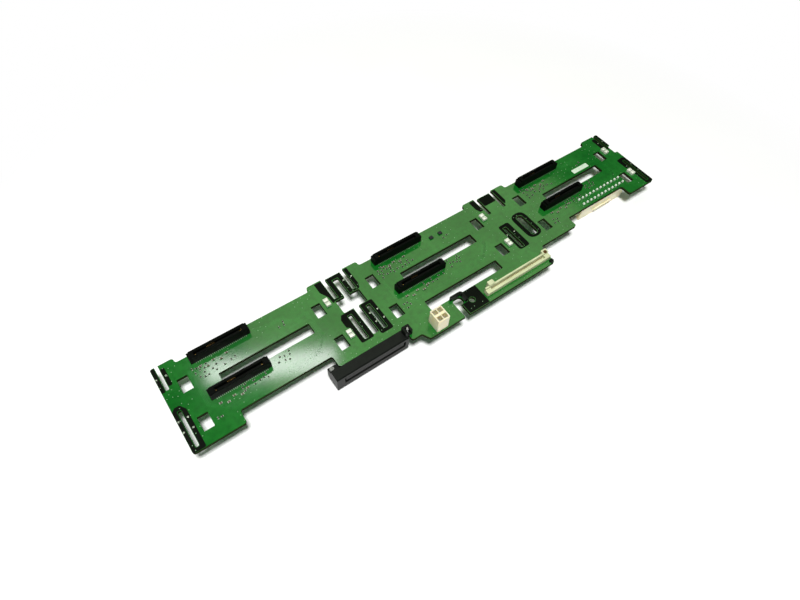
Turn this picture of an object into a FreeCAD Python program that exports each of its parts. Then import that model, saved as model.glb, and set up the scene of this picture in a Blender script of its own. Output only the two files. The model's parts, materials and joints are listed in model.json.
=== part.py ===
import FreeCAD, Part

# Drive backplane board for a flat server chassis: three columns of two drive bays.
#
# A parametric FreeCAD document in millimetres.  Every driving size is a named cell of the
# sheet "Sizes", and each sub-part is a body bound to those cells.
#
# The board lies flat with its drive side up.  The origin is the screw hole, at the drive
# side's surface: +X runs along the board, +Y across it towards the upper row of drives, and
# +Z out of the board towards the drives.  Sizes named for the board are measured from its
# left edge and from its lower datum line, the end of the left tab.

import math
import os
import re
import Sketcher

SIZES = [
    # the bare board
    ("board_length", 413.0, "left edge to right edge"),
    ("board_width", 62.5, "lower datum line to the plain upper edge"),
    ("board_thickness", 2.4, "laminate"),
    ("tab_rise", 4.0, "locating tabs above the plain upper edge"),
    ("end_tab_width", 15.5, "tab at the left end of the upper edge"),
    ("last_tab_width", 20.0, "tab at the right end of the upper edge"),
    ("middle_tab_width", 42.4, "tab over each joint between two columns"),
    ("bar_drop", 1.4, "bar between two slits below the tab tops"),
    ("outer_radius", 1.8, "outer corners of the board"),
    ("router_radius", 0.9, "inner corners, left by the router bit"),
    # the six drive bays
    ("column_count", 3, "drive columns along the board"),
    ("column_pitch", 143.0, "one drive bay across the chassis"),
    ("row_count", 2, "drive rows"),
    ("row_pitch", 30.3, "one drive bay up the chassis"),
    ("row_start", 27.7, "lower row of drive connectors"),
    ("connector_start", 23.6, "left end of the first drive connector"),
    ("last_column_trim", 3.6, "right-hand features of the last column stand further left"),
    # air slots and bottom notches
    ("slot_start", 35.0, "left end of an air slot in its column"),
    ("slot_length", 66.6, "air slot along the board"),
    ("slot_width", 8.8, "air slot across the board"),
    ("slot_gap", 3.4, "lower row's centre line to the air slot above it"),
    ("low_slot_edge", 1.0, "lower air slot above the datum line"),
    ("notch_depth", 9.4, "bottom notch above the datum line"),
    # square holes for the cage hooks
    ("hook_hole_width", 7.0, "along the board"),
    ("hook_hole_length", 10.8, "across the board"),
    ("hook_hole_start", 11.2, "left hole in its column"),
    ("right_hook_start", 109.2, "right hole in its column"),
    ("hook_hole_edge", 9.2, "lower holes above the datum line"),
    # slits beside the locating fingers
    ("joint_centre", 135.9, "middle of the first joint between two columns"),
    ("slit_offset", 7.7, "slit centre from the middle of its joint"),
    ("slit_width", 3.2, "slit at a joint"),
    ("end_slit_width", 2.4, "slit at an end of the board"),
    ("end_slit_inset", 4.1, "end slit's centre from the end of the board"),
    ("high_slit_floor", 47.0, "foot of the slits that open upwards"),
    ("low_slit_floor", 8.0, "foot of the closed slits at a joint"),
    ("end_slit_floor", 3.0, "foot of the closed slits at an end"),
    ("low_slit_top", 30.0, "head of the closed slits"),
    ("wide_slit_offset", 9.4, "wide slit's centre from the middle of the last joint"),
    ("wide_slit_width", 6.0, "wide slit at the last joint"),
    ("wide_slit_round", 2.6, "its rounded ends"),
    ("wide_slit_floor", 12.0, "its foot"),
    ("wide_slit_top", 33.0, "its head"),
    ("centre_slit_width", 4.6, "long slit in the first joint"),
    ("centre_slit_top", 61.5, "head of the long slit"),
    ("window_width", 19.5, "window in the first joint, along the board"),
    ("window_floor", 33.2, "foot of the window"),
    ("window_top", 45.0, "head of the window"),
    ("end_notch_depth", 2.8, "notch in the right end"),
    ("end_notch_floor", 41.0, "foot of that notch"),
    ("end_notch_top", 50.0, "head of that notch"),
    # the tongue along the lower edge that carries the headers
    ("tongue_start", 153.0, "left side of the tongue"),
    ("tongue_step", 10.5, "shallow part of the tongue below the datum line"),
    ("tongue_drop", 16.5, "full depth of the tongue below the datum line"),
    ("tongue_slope_start", 161.0, "where the tongue starts to deepen"),
    ("tongue_slope_end", 164.0, "where it reaches its full depth"),
    ("tongue_end", 281.4, "right side of the tongue"),
    ("tongue_corner", 2.6, "bevel where the tongue meets the datum line"),
    ("hook_slot_start", 194.2, "left side of the slot that opens downwards"),
    ("hook_slot_width", 4.6, "its mouth"),
    ("hook_slot_head", 7.8, "its wider head"),
    ("hook_slot_neck", -7.0, "where the head begins"),
    ("hook_slot_top", -0.8, "top of the head"),
    ("hook_slot_round", 2.6, "rounded head corners"),
    ("rib_wall", 1.5, "guide rib round that head"),
    ("rib_rise", 4.2, "guide rib above the board"),
    ("rib_round", 2.4, "its outer corner"),
    ("screw_x", 207.5, "screw hole from the left edge"),
    ("screw_y", -8.0, "screw hole from the datum line"),
    ("screw_hole", 4.5, "diameter"),
    # drive connectors
    ("drive_length", 42.2, "housing along the board"),
    ("drive_depth", 5.6, "housing across the board"),
    ("drive_rise", 7.2, "housing top above the board"),
    ("drive_standoff", 0.4, "housing underside above the board"),
    ("drive_foot", 3.0, "foot under each end"),
    ("drive_slot_length", 33.6, "slot for the drive's tongue"),
    ("drive_slot_width", 1.5, "slot across"),
    ("key_length", 1.5, "polarising notch at a slot end, along the board"),
    ("key_depth", 0.8, "polarising notch across the board"),
    ("drive_bevel", 0.35, "bevels of the housing"),
    ("end_step", 1.6, "lead-in step at each end of the housing"),
    ("end_step_drop", 1.2, "depth of that step"),
    ("hole_clearance", 0.1, "drilled holes over what they take, on the diameter"),
    # drive contacts
    ("contact_pitch", 1.27, "main contacts"),
    ("fine_pitch", 0.8, "second data port"),
    ("contact_width", 0.55, "along the board"),
    ("fine_width", 0.4, "along the board"),
    ("contact_strip", 0.3, "blade thickness"),
    ("contact_drop", 1.6, "contact tips below the housing top"),
    ("data_count", 7, "contacts of each data port"),
    ("supply_count", 15, "supply contacts"),
    ("port_gap", 6.35, "last data contact to first supply contact"),
    ("data_start", -15.875, "first data contact from the housing's middle"),
    # power headers
    ("pin_pitch", 4.2, "power pins along a header"),
    ("pin_row_pitch", 5.5, "power pins across a header"),
    ("pin_side", 1.1, "square power pins"),
    ("cavity_side", 3.5, "square cavities"),
    ("cavity_depth", 10.4, "cavities below the header's mouth"),
    ("header_wall", 0.9, "outer wall round the cavities"),
    ("header_rise", 12.8, "header above the board"),
    ("header_round", 0.7, "upright corners"),
    ("latch_width", 3.4, "latch ramp along the header"),
    ("latch_depth", 1.3, "latch ramp stands out"),
    ("latch_length", 3.6, "latch ramp from top to foot"),
    ("latch_root", 0.2, "latch ramp runs into the wall"),
    ("latch_drop", 1.6, "latch ramp below the header's mouth"),
    ("pin_tip_drop", 2.6, "pin tips below the header's mouth"),
    ("pin_tail", 1.5, "pins beyond the far side of the board"),
    ("front_header_x", 175.1, "middle of the 4-way header"),
    ("front_header_y", -10.2, "middle of the 4-way header"),
    ("front_header_columns", 2, "pairs of pins"),
    ("rear_header_x", 365.2, "middle of the 24-way header"),
    ("rear_header_y", 15.4, "middle of the 24-way header"),
    ("rear_header_columns", 12, "pairs of pins"),
    # cable header
    ("cable_start", 218.4, "left end"),
    ("cable_length", 61.4, "along the board"),
    ("cable_front", -12.4, "front face"),
    ("cable_depth", 4.6, "across the board"),
    ("cable_rise", 5.6, "rear wall above the board"),
    ("cable_front_rise", 3.6, "front wall above the board"),
    ("cable_wall", 1.2, "rear and front walls"),
    ("cable_floor", 1.2, "floor of the trench"),
    ("cable_end_wall", 4.6, "solid ends of the trench"),
    ("cable_pitch", 1.27, "contacts"),
    ("cable_count", 40, "contacts in a row"),
    ("cable_contact", 0.5, "contact width"),
    ("cable_contact_depth", 0.35, "contact thickness"),
    ("cable_contact_drop", 0.9, "contact tips below the front wall"),
    ("ear_length", 5.0, "ears behind the header"),
    ("ear_reach", 2.4, "ears beyond the rear wall"),
    ("left_ear_rise", 7.4, "left ear above the board"),
    ("left_ear_start", 3.2, "left ear from the header's end"),
    ("ear_hole", 2.0, "hole in the right ear"),
    ("rivet_head", 3.0, "rivet in the right ear"),
    ("rivet_rise", 0.5, "rivet head above the ear"),
    ("corner_peg_x", 279.2, "snap peg"),
    ("corner_peg_y", -14.7, "snap peg"),
    ("corner_peg_head", 3.6, "head diameter"),
    ("corner_peg_shank", 2.0, "shank diameter"),
    ("corner_peg_rise", 1.6, "head above the board"),
    ("corner_peg_tail", 1.6, "shank below the board"),
    # edge connector
    ("edge_start", 94.5, "left end"),
    ("edge_reach", 8.0, "mating face beyond the datum line"),
    ("edge_back", 4.4, "rear of the connector behind the datum line"),
    ("edge_drop", 12.6, "underside below the drive side"),
    ("edge_heel", 2.6, "bevel along its lower rear edge"),
    ("seat_clearance", 0.1, "between the board's edge and what stands beside it"),
    ("mouth_start", 6.0, "mouth from the left end, which carries the stud"),
    ("mouth_end_wall", 2.6, "mouth from the right end"),
    ("blade_inset", 1.2, "contact blade from the ends of the mouth"),
    ("mouth_top_wall", 2.8, "mouth below the drive side"),
    ("mouth_height", 6.4, "mouth from top to bottom"),
    ("mouth_depth", 6.0, "mouth behind the mating face"),
    ("tongue_blade", 3.2, "contact blade inside the mouth"),
    ("blade_setback", 0.6, "blade behind the mating face"),
    ("edge_pitch", 1.27, "contacts"),
    ("edge_count", 36, "contacts in a row"),
    ("edge_first", 8.2, "first contact from the left end"),
    ("edge_contact", 0.6, "contact width"),
    ("edge_contact_height", 0.25, "contact thickness"),
    ("edge_tail", 1.6, "solder tails behind the connector"),
    ("edge_tail_height", 0.4, "solder tails"),
    ("guide_width", 5.8, "guide block along the board"),
    ("guide_depth", 6.0, "guide block across the board"),
    ("guide_rise", 5.0, "guide block above the board"),
    ("guide_overhang", 2.0, "guide block over the end of the connector"),
    ("guide_setback", 0.6, "guide block below the datum line"),
    ("guide_slot", 2.6, "slot in the guide block"),
    ("guide_pin", 2.2, "guide pin diameter"),
    ("guide_pin_rise", 6.6, "guide pin above the board"),
    ("hold_down_x", 96.9, "hold-down stud at the left end"),
    ("hold_down_y", 2.3, "hold-down stud"),
    ("hold_down_head", 3.8, "its head"),
    ("hold_down_rise", 1.5, "its head above the connector's shoulder"),
    # lamps and small parts on the drive side
    ("lamp_x", 120.6, "bay lamps in the first column"),
    ("lamp_length", 3.5, "lamp package along the board"),
    ("lamp_width", 2.8, "lamp package across the board"),
    ("lamp_rise", 1.9, "lamp package above the board"),
    ("lamp_cup", 2.4, "reflector cup along the board"),
    ("lamp_cup_depth", 0.9, "reflector cup"),
    ("lamp_step", 3.5, "upper lamp of a pair from the lower one"),
    ("lamp_y", 14.9, "lower lamp of the lower pair"),
    ("capacitor_length", 1.8, "chip capacitors"),
    ("capacitor_width", 1.0, "chip capacitors"),
    ("capacitor_rise", 0.8, "chip capacitors"),
    ("capacitor_x", 27.5, "first chip capacitor in its column"),
    ("capacitor_step", 4.6, "chip capacitors along the board"),
    ("capacitor_drop", 7.4, "chip capacitors below the connector's centre line"),
    ("capacitor_stagger", 2.1, "every second one further down"),
    ("sensor_x", 217.2, "first sensor chip"),
    ("sensor_y", 53.4, "sensor chips"),
    ("sensor_step", 8.4, "second sensor chip from the first"),
    ("sensor_length", 3.0, "sensor chips"),
    ("sensor_width", 2.6, "sensor chips"),
    ("sensor_rise", 1.1, "sensor chips"),
    # parts on the far side
    ("controller_x", 222.0, "bay controller chip"),
    ("controller_y", 20.4, "bay controller chip"),
    ("controller_side", 10.0, "moulded body"),
    ("controller_rise", 1.6, "top above the board"),
    ("controller_gap", 0.1, "moulded body above the board"),
    ("lead_pitch", 1.0, "leads"),
    ("lead_count", 8, "leads on each side"),
    ("lead_width", 0.4, "leads"),
    ("lead_reach", 1.2, "leads beyond the moulded body"),
    ("lead_strip", 0.25, "lead thickness"),
    ("memory_x", 240.0, "memory chip"),
    ("memory_length", 4.9, "memory chip"),
    ("memory_width", 3.9, "memory chip"),
    ("memory_rise", 1.6, "memory chip"),
    ("crystal_x", 206.0, "clock crystal"),
    ("crystal_length", 7.0, "clock crystal"),
    ("crystal_width", 5.0, "clock crystal"),
    ("crystal_rise", 1.3, "clock crystal"),
    ("reservoir_x", 92.0, "reservoir capacitors in their column"),
    ("reservoir_length", 7.3, "reservoir capacitors"),
    ("reservoir_width", 4.3, "reservoir capacitors"),
    ("reservoir_rise", 2.9, "reservoir capacitors"),
    ("reservoir_bevel", 0.5, "their upper edges"),
    ("resistor_length", 1.6, "chip resistors"),
    ("resistor_width", 0.8, "chip resistors"),
    ("resistor_rise", 0.5, "chip resistors"),
    ("resistor_x", 40.0, "first chip resistor in its column"),
    ("resistor_step", 2.6, "chip resistors along the board"),
    ("resistor_drop", 4.6, "chip resistors below the connector's centre line"),
]

doc = FreeCAD.newDocument("DriveBackplane")
sheet = doc.addObject("Spreadsheet::Sheet", "Sizes")
for row, (alias, size, meaning) in enumerate(SIZES, start=1):
    sheet.set(f"A{row}", alias)
    sheet.set(f"B{row}", str(size))
    sheet.set(f"C{row}", meaning)
    sheet.setAlias(f"B{row}", alias)
doc.recompute()


# ---------------------------------------------------------------- formulas and sketches

def bind(formula):
    """Point every size name in a formula at its cell of the sheet."""
    return re.sub(r"(?<![\w.])(?!min\b|max\b)[a-z]\w+", lambda name: "Sizes." + name.group(), str(formula))


def number(formula):
    """What a formula of size names comes to."""
    return float(sheet.evalExpression(bind(formula)))


def whole(formula):
    """The same, as a count."""
    return int(round(number(formula)))


def new_body(label, along="screw_x", across="screw_y", up="0", flipped=False):
    """An empty body at a place on the board; flipped bodies stand on the far side."""
    body = doc.addObject("PartDesign::Body", label)
    body.Label = label
    if flipped:
        body.Placement = FreeCAD.Placement(FreeCAD.Vector(), FreeCAD.Rotation(FreeCAD.Vector(1, 0, 0), 180))
    body.setExpression("Placement.Base.x", bind(f"({along}) - screw_x"))
    body.setExpression("Placement.Base.y", bind(f"({across}) - screw_y"))
    body.setExpression("Placement.Base.z", bind(up))
    return body


def origin_part(body, role):
    """One of a body's own planes or axes."""
    return next(part for part in body.Origin.OriginFeatures if part.Role == role)


def new_sketch(body, name, plane="XY_Plane", lift="0"):
    """A sketch on one of the body's planes, lifted along the plane's normal."""
    sketch = body.newObject("Sketcher::SketchObject", f"{body.Name}_{name}")
    sketch.AttachmentSupport = [(origin_part(body, plane), "")]
    sketch.MapMode = "FlatFace"
    sketch.setExpression("AttachmentOffset.Base.z", bind(lift))
    return sketch


def draw_outline(sketch, corners):
    """A closed outline of straight sides; each corner is a pair of formulas."""
    first = sketch.GeometryCount
    rule = sketch.ConstraintCount
    spots = [FreeCAD.Vector(number(x), number(y), 0) for x, y in corners]
    count = len(spots)
    sketch.addGeometry([Part.LineSegment(spots[i], spots[(i + 1) % count]) for i in range(count)], False)
    rules = [Sketcher.Constraint("Coincident", first + i, 2, first + (i + 1) % count, 1)
             for i in range(count)]
    for i, spot in enumerate(spots):
        rules.append(Sketcher.Constraint("DistanceX", -1, 1, first + i, 1, spot.x))
        rules.append(Sketcher.Constraint("DistanceY", -1, 1, first + i, 1, spot.y))
    sketch.addConstraint(rules)
    for i, (x, y) in enumerate(corners):
        sketch.setExpression(f"Constraints[{rule + count + 2 * i}]", bind(x))
        sketch.setExpression(f"Constraints[{rule + count + 2 * i + 1}]", bind(y))


def draw_box(sketch, left, right, low, high):
    """A rectangle between two formulas along and two across."""
    draw_outline(sketch, [(left, low), (right, low), (right, high), (left, high)])


def draw_centred_box(sketch, x, y, length, width):
    """A rectangle about a centre."""
    draw_box(sketch, f"({x}) - ({length}) / 2", f"({x}) + ({length}) / 2",
             f"({y}) - ({width}) / 2", f"({y}) + ({width}) / 2")


def draw_rounded_box(sketch, left, right, low, high, radius):
    """A rectangle whose four corners are rounded to one radius."""
    first = sketch.GeometryCount
    rule = sketch.ConstraintCount
    bend = number(radius)
    near, far, foot, head = (number(side) for side in (left, right, low, high))
    turns = [(far - bend, foot + bend, -90), (far - bend, head - bend, 0),
             (near + bend, head - bend, 90), (near + bend, foot + bend, 180)]
    sides = [((near + bend, foot), (far - bend, foot)), ((far, foot + bend), (far, head - bend)),
             ((far - bend, head), (near + bend, head)), ((near, head - bend), (near, foot + bend))]
    shapes = []
    for (start, stop), (x, y, angle) in zip(sides, turns):
        shapes.append(Part.LineSegment(FreeCAD.Vector(*start, 0), FreeCAD.Vector(*stop, 0)))
        circle = Part.Circle(FreeCAD.Vector(x, y, 0), FreeCAD.Vector(0, 0, 1), bend)
        shapes.append(Part.ArcOfCircle(circle, math.radians(angle), math.radians(angle + 90)))
    sketch.addGeometry(shapes, False)
    rules = []
    for i in range(4):
        line, arc, following = first + 2 * i, first + 2 * i + 1, first + (2 * i + 2) % 8
        rules.append(Sketcher.Constraint("Tangent", line, 2, arc, 1))
        rules.append(Sketcher.Constraint("Tangent", arc, 2, following, 1))
        rules.append(Sketcher.Constraint("Horizontal" if i % 2 == 0 else "Vertical", line))
        if i:
            rules.append(Sketcher.Constraint("Equal", first + 1, arc))
    sized = [("DistanceY", first, foot, low), ("DistanceX", first + 2, far, right),
             ("DistanceY", first + 4, head, high), ("DistanceX", first + 6, near, left)]
    rules += [Sketcher.Constraint(kind, -1, 1, line, 1, size) for kind, line, size, formula in sized]
    rules.append(Sketcher.Constraint("Radius", first + 1, bend))
    sketch.addConstraint(rules)
    formulas = [formula for kind, line, size, formula in sized] + [radius]
    for step, formula in enumerate(formulas):
        sketch.setExpression(f"Constraints[{rule + len(rules) - 5 + step}]", bind(formula))


def draw_circle(sketch, x, y, diameter):
    """A circle about a centre."""
    first = sketch.GeometryCount
    rule = sketch.ConstraintCount
    centre = FreeCAD.Vector(number(x), number(y), 0)
    radius = number(diameter) / 2
    sketch.addGeometry(Part.Circle(centre, FreeCAD.Vector(0, 0, 1), radius), False)
    sketch.addConstraint([
        Sketcher.Constraint("DistanceX", -1, 1, first, 3, centre.x),
        Sketcher.Constraint("DistanceY", -1, 1, first, 3, centre.y),
        Sketcher.Constraint("Diameter", first, 2 * radius),
    ])
    for step, formula in enumerate((x, y, diameter)):
        sketch.setExpression(f"Constraints[{rule + step}]", bind(formula))


# ---------------------------------------------------------------- features

def pad(body, sketch, length, down=False, both_ways=False):
    """Raise a sketch by a length: upwards, downwards or to both sides."""
    feature = body.newObject("PartDesign::Pad", f"{sketch.Name}_pad")
    feature.Profile = sketch
    feature.setExpression("Length", bind(length))
    feature.Reversed = down
    if both_ways:
        feature.SideType = "Symmetric"
    body.Tip = feature
    return feature


def pocket(body, sketch, depth=None, upwards=False):
    """Cut a sketch into the body, right through where no depth is given."""
    doc.recompute()
    before = body.Shape.Volume
    feature = body.newObject("PartDesign::Pocket", f"{sketch.Name}_cut")
    feature.Profile = sketch
    feature.Reversed = upwards
    if depth is None:
        feature.Type = "ThroughAll"
    else:
        feature.setExpression("Length", bind(depth))
    body.Tip = feature
    doc.recompute()
    if body.Shape.Volume >= before:
        raise RuntimeError(f"{feature.Name} removes nothing")
    return feature


def repeat(body, features, count_x="1", step_x="1", count_y="1", step_y="1", backwards=False):
    """Repeat features along the body's X and Y, or against Y."""
    pattern = body.newObject("PartDesign::LinearPattern", f"{features[0].Name}_rows")
    pattern.Originals = features
    pattern.Direction = (origin_part(body, "X_Axis"), [""])
    pattern.Mode = "Spacing"
    pattern.setExpression("Occurrences", bind(count_x))
    pattern.setExpression("Offset", bind(step_x))
    pattern.Direction2 = (origin_part(body, "Y_Axis"), [""])
    pattern.Mode2 = "Extent"
    pattern.setExpression("Occurrences2", bind(count_y))
    pattern.setExpression("Length2", bind(f"({step_y}) * max({count_y} - 1; 1)"))
    pattern.Reversed2 = backwards
    body.Tip = pattern
    return pattern


def dress(body, kind, name, size, chosen):
    """Fillet or chamfer the edges that a test picks from the body as it stands."""
    doc.recompute()
    base = body.Tip
    edges = [f"Edge{i}" for i, edge in enumerate(base.Shape.Edges, start=1) if chosen(edge)]
    if not edges:
        raise RuntimeError(f"{body.Label}: no edge for {name}")
    feature = body.newObject(f"PartDesign::{kind}", f"{body.Name}_{name}")
    feature.Base = (base, edges)
    feature.setExpression("Radius" if kind == "Fillet" else "Size", bind(size))
    body.Tip = feature
    doc.recompute()
    if not feature.Shape.isValid():
        raise RuntimeError(f"{feature.Name} leaves a bad shape")
    return feature


def is_upright(edge):
    """Whether an edge is straight and runs along Z."""
    if len(edge.Vertexes) != 2 or not isinstance(edge.Curve, Part.Line):
        return False
    return abs(edge.tangentAt(edge.FirstParameter).z) > 0.999


def upright_at(corners):
    """A test for the upright edges over any of these corners."""
    spots = [(number(x), number(y)) for x, y in corners]

    def chosen(edge):
        if not is_upright(edge):
            return False
        point = edge.Vertexes[0].Point
        return any(abs(point.x - x) < 1e-4 and abs(point.y - y) < 1e-4 for x, y in spots)
    return chosen


def level_at(height, along_only=False):
    """A test for the straight edges that lie at a height."""
    level = number(height)

    def chosen(edge):
        if not isinstance(edge.Curve, Part.Line):
            return False
        if any(abs(vertex.Point.z - level) > 1e-4 for vertex in edge.Vertexes):
            return False
        return not along_only or abs(edge.tangentAt(edge.FirstParameter).x) > 0.999
    return chosen


def box_corners(left, right, low, high):
    """The four corners of a rectangle, as pairs of formulas."""
    return [(left, low), (right, low), (right, high), (left, high)]


# ---------------------------------------------------------------- places on the board

COLUMNS = whole("column_count")
ROWS = whole("row_count")


def right_shift(column):
    """How far a column's right-hand features stand from the first column's."""
    trim = " - last_column_trim" if column == COLUMNS - 1 else ""
    return f"column_pitch * {column}{trim}"


def slot_ends(column):
    """Both ends of a column's air slots and notches."""
    return (f"slot_start + column_pitch * {column}",
            f"slot_start + slot_length + {right_shift(column)}")


SLOT_LOW = "row_start + slot_gap"
SLOT_HIGH = "row_start + slot_gap + slot_width"
TAB_TOP = "board_width + tab_rise"


# ---------------------------------------------------------------- the bare board

def board_outline():
    """The outer outline, anticlockwise from the lower left corner."""
    notch_left, notch_right = slot_ends(0)
    last_left, last_right = slot_ends(COLUMNS - 1)
    corners = [
        ("0", "0"), (notch_left, "0"), (notch_left, "notch_depth"),
        (notch_right, "notch_depth"), (notch_right, "0"),
        ("tongue_start", "0"), ("tongue_start", "-tongue_step"),
        ("tongue_slope_start", "-tongue_step"), ("tongue_slope_end", "-tongue_drop"),
        ("tongue_end", "-tongue_drop"), ("tongue_end", "-tongue_corner"),
        ("tongue_end + tongue_corner", "0"),
        (last_left, "0"), (last_left, "notch_depth"), (last_right, "notch_depth"), (last_right, "0"),
        ("board_length", "0"),
        ("board_length", "end_notch_floor"), ("board_length - end_notch_depth", "end_notch_floor"),
        ("board_length - end_notch_depth", "end_notch_top"), ("board_length", "end_notch_top"),
        ("board_length", TAB_TOP), ("board_length - last_tab_width", TAB_TOP),
        ("board_length - last_tab_width", "board_width"),
    ]
    for column in range(COLUMNS - 1, 0, -1):
        middle = f"joint_centre + column_pitch * {column - 1}"
        corners += [
            (f"{middle} + middle_tab_width / 2", "board_width"),
            (f"{middle} + middle_tab_width / 2", TAB_TOP),
            (f"{middle} - middle_tab_width / 2", TAB_TOP),
            (f"{middle} - middle_tab_width / 2", "board_width"),
        ]
    return corners + [("end_tab_width", "board_width"), ("end_tab_width", TAB_TOP), ("0", TAB_TOP)]


def make_board():
    """The laminate: its outline, air slots, hook holes, slits, window and drilled holes."""
    board = new_body("circuit_board", "0", "0")
    outline = new_sketch(board, "outline")
    draw_outline(outline, board_outline())
    pad(board, outline, "board_thickness", down=True)
    sharp = [("tongue_end", "-tongue_corner"), ("tongue_end + tongue_corner", "0")]
    notch = box_corners("board_length - end_notch_depth", "board_length", "end_notch_floor", "end_notch_top")
    inner = notch + [("tongue_start", "0")]
    outer = [corner for corner in board_outline() if corner not in sharp + inner]
    dress(board, "Fillet", "outer_corners", "min(outer_radius; tab_rise * 0.45)", upright_at(outer))
    dress(board, "Fillet", "inner_corners", "min(router_radius; end_notch_depth * 0.45)", upright_at(inner))

    slots = new_sketch(board, "air_slots")
    for column in range(COLUMNS):
        draw_rounded_box(slots, *slot_ends(column), SLOT_LOW, SLOT_HIGH, "router_radius")
    for column in range(1, COLUMNS - 1):
        draw_rounded_box(slots, *slot_ends(column), "low_slot_edge", "low_slot_edge + slot_width",
                         "router_radius")
    pocket(board, slots)

    for name, left, count in (("left_hooks", "hook_hole_start", "column_count"),
                              ("right_hooks", "right_hook_start", "column_count - 1"),
                              ("last_hooks", f"right_hook_start + {right_shift(COLUMNS - 1)}", "1")):
        hole = new_sketch(board, name)
        draw_box(hole, left, f"{left} + hook_hole_width", "hook_hole_edge",
                 "hook_hole_edge + hook_hole_length")
        repeat(board, [pocket(board, hole)], count, "column_pitch", "row_count", "row_pitch")

    cut_slits(board)
    bars = new_sketch(board, "bars")
    for joint in range(COLUMNS - 1):
        middle = f"joint_centre + column_pitch * {joint}"
        draw_box(bars, f"{middle} - slit_offset", f"{middle} + slit_offset",
                 f"{TAB_TOP} - bar_drop", f"{TAB_TOP} + 1")
    pocket(board, bars)

    centre = new_sketch(board, "centre_slit")
    draw_rounded_box(centre, "joint_centre - centre_slit_width / 2", "joint_centre + centre_slit_width / 2",
                     "low_slit_floor", "centre_slit_top", "router_radius")
    pocket(board, centre)
    window = new_sketch(board, "window")
    draw_rounded_box(window, "joint_centre - window_width / 2", "joint_centre + window_width / 2",
                     "window_floor", "window_top", "router_radius")
    pocket(board, window)

    neck = new_sketch(board, "hook_slot_neck")
    draw_box(neck, "hook_slot_start", "hook_slot_start + hook_slot_width", "-tongue_drop - 1",
             "(hook_slot_neck + hook_slot_top) / 2")
    pocket(board, neck)
    head = new_sketch(board, "hook_slot_head")
    draw_rounded_box(head, "hook_slot_start", "hook_slot_start + hook_slot_head", "hook_slot_neck",
                     "hook_slot_top", "hook_slot_round")
    pocket(board, head)
    drill_board(board)
    return board


def draw_slit(sketch, middle, width, floor, top):
    """A narrow slot across the board with routed corners."""
    draw_rounded_box(sketch, f"{middle} - {width} / 2", f"{middle} + {width} / 2", floor, top,
                     "min(router_radius; end_slit_width * 0.45)")


def cut_slits(board):
    """The slits beside the locating fingers, at both ends and at the joints."""
    above = f"{TAB_TOP} + router_radius"
    ends = new_sketch(board, "end_slits")
    for middle in ("end_slit_inset", "board_length - end_slit_inset"):
        draw_slit(ends, middle, "end_slit_width", "high_slit_floor", above)
        draw_slit(ends, middle, "end_slit_width", "end_slit_floor", "low_slit_top")
    pocket(board, ends)

    left, right = "joint_centre - slit_offset", "joint_centre + slit_offset"
    joints = new_sketch(board, "joint_slits")
    draw_slit(joints, left, "slit_width", "high_slit_floor", above)
    draw_slit(joints, right, "slit_width", "high_slit_floor", above)
    draw_slit(joints, left, "slit_width", "low_slit_floor", "low_slit_top")
    repeat(board, [pocket(board, joints)], "column_count - 1", "column_pitch")

    closed = new_sketch(board, "right_slits")
    for joint in range(COLUMNS - 2):
        draw_slit(closed, f"{right} + column_pitch * {joint}", "slit_width", "low_slit_floor", "low_slit_top")
    wide = f"joint_centre + column_pitch * {COLUMNS - 2} + wide_slit_offset"
    draw_rounded_box(closed, f"{wide} - wide_slit_width / 2", f"{wide} + wide_slit_width / 2",
                     "wide_slit_floor", "wide_slit_top", "min(wide_slit_round; wide_slit_width * 0.45)")
    pocket(board, closed)


def drill_board(board):
    """The screw and snap peg holes, and square holes for the power pins."""
    single = new_sketch(board, "single_holes")
    draw_circle(single, "screw_x", "screw_y", "screw_hole")
    draw_circle(single, "corner_peg_x", "corner_peg_y", "corner_peg_shank + hole_clearance")
    pocket(board, single)

    side = "pin_side + hole_clearance"
    for name in ("front_header", "rear_header"):
        pins = new_sketch(board, f"{name}_holes")
        draw_centred_box(pins, f"{name}_x - pin_pitch * ({name}_columns - 1) / 2",
                         f"{name}_y - pin_row_pitch / 2", side, side)
        pin_hole = pocket(board, pins)
        repeat(board, [pin_hole], f"{name}_columns", "pin_pitch", "2", "pin_row_pitch")


# ---------------------------------------------------------------- drive connectors

def make_drive_housing(label, along, across):
    """A moulded receptacle: a keyed slot between two long walls, on two end feet."""
    body = new_body(label, along, across)
    block = new_sketch(body, "block", lift="drive_standoff")
    draw_centred_box(block, "0", "0", "drive_length", "drive_depth")
    pad(body, block, "drive_rise - drive_standoff")
    half = "drive_length / 2"
    step = new_sketch(body, "end_steps", lift="drive_rise")
    for side in ("-1", "1"):
        draw_centred_box(step, f"{side} * ({half} - end_step / 2 + 0.5)", "0",
                         "end_step + 1", "drive_depth + 1")
    pocket(body, step, "end_step_drop")
    reach = "drive_slot_length / 2"
    wall = "drive_slot_width / 2"
    slot = new_sketch(body, "slot", lift="drive_rise")
    draw_outline(slot, [
        (f"-{reach}", f"-{wall} - key_depth"), (f"-{reach} + key_length", f"-{wall} - key_depth"),
        (f"-{reach} + key_length", f"-{wall}"), (f"{reach} - key_length", f"-{wall}"),
        (f"{reach} - key_length", f"-{wall} - key_depth"), (reach, f"-{wall} - key_depth"),
        (reach, wall), (f"-{reach}", wall),
    ])
    pocket(body, slot)
    feet = new_sketch(body, "feet", lift="drive_standoff")
    for side in ("-1", "1"):
        draw_centred_box(feet, f"{side} * ({half} - drive_foot / 2)", "0", "drive_foot", "drive_depth")
    pad(body, feet, "drive_standoff", down=True)
    thinnest = "((drive_depth - drive_slot_width) / 2 - key_depth)"
    dress(body, "Chamfer", "mouth_bevel", f"min(drive_bevel; {thinnest} * 0.45)",
          level_at("drive_rise", along_only=True))
    return body


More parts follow.
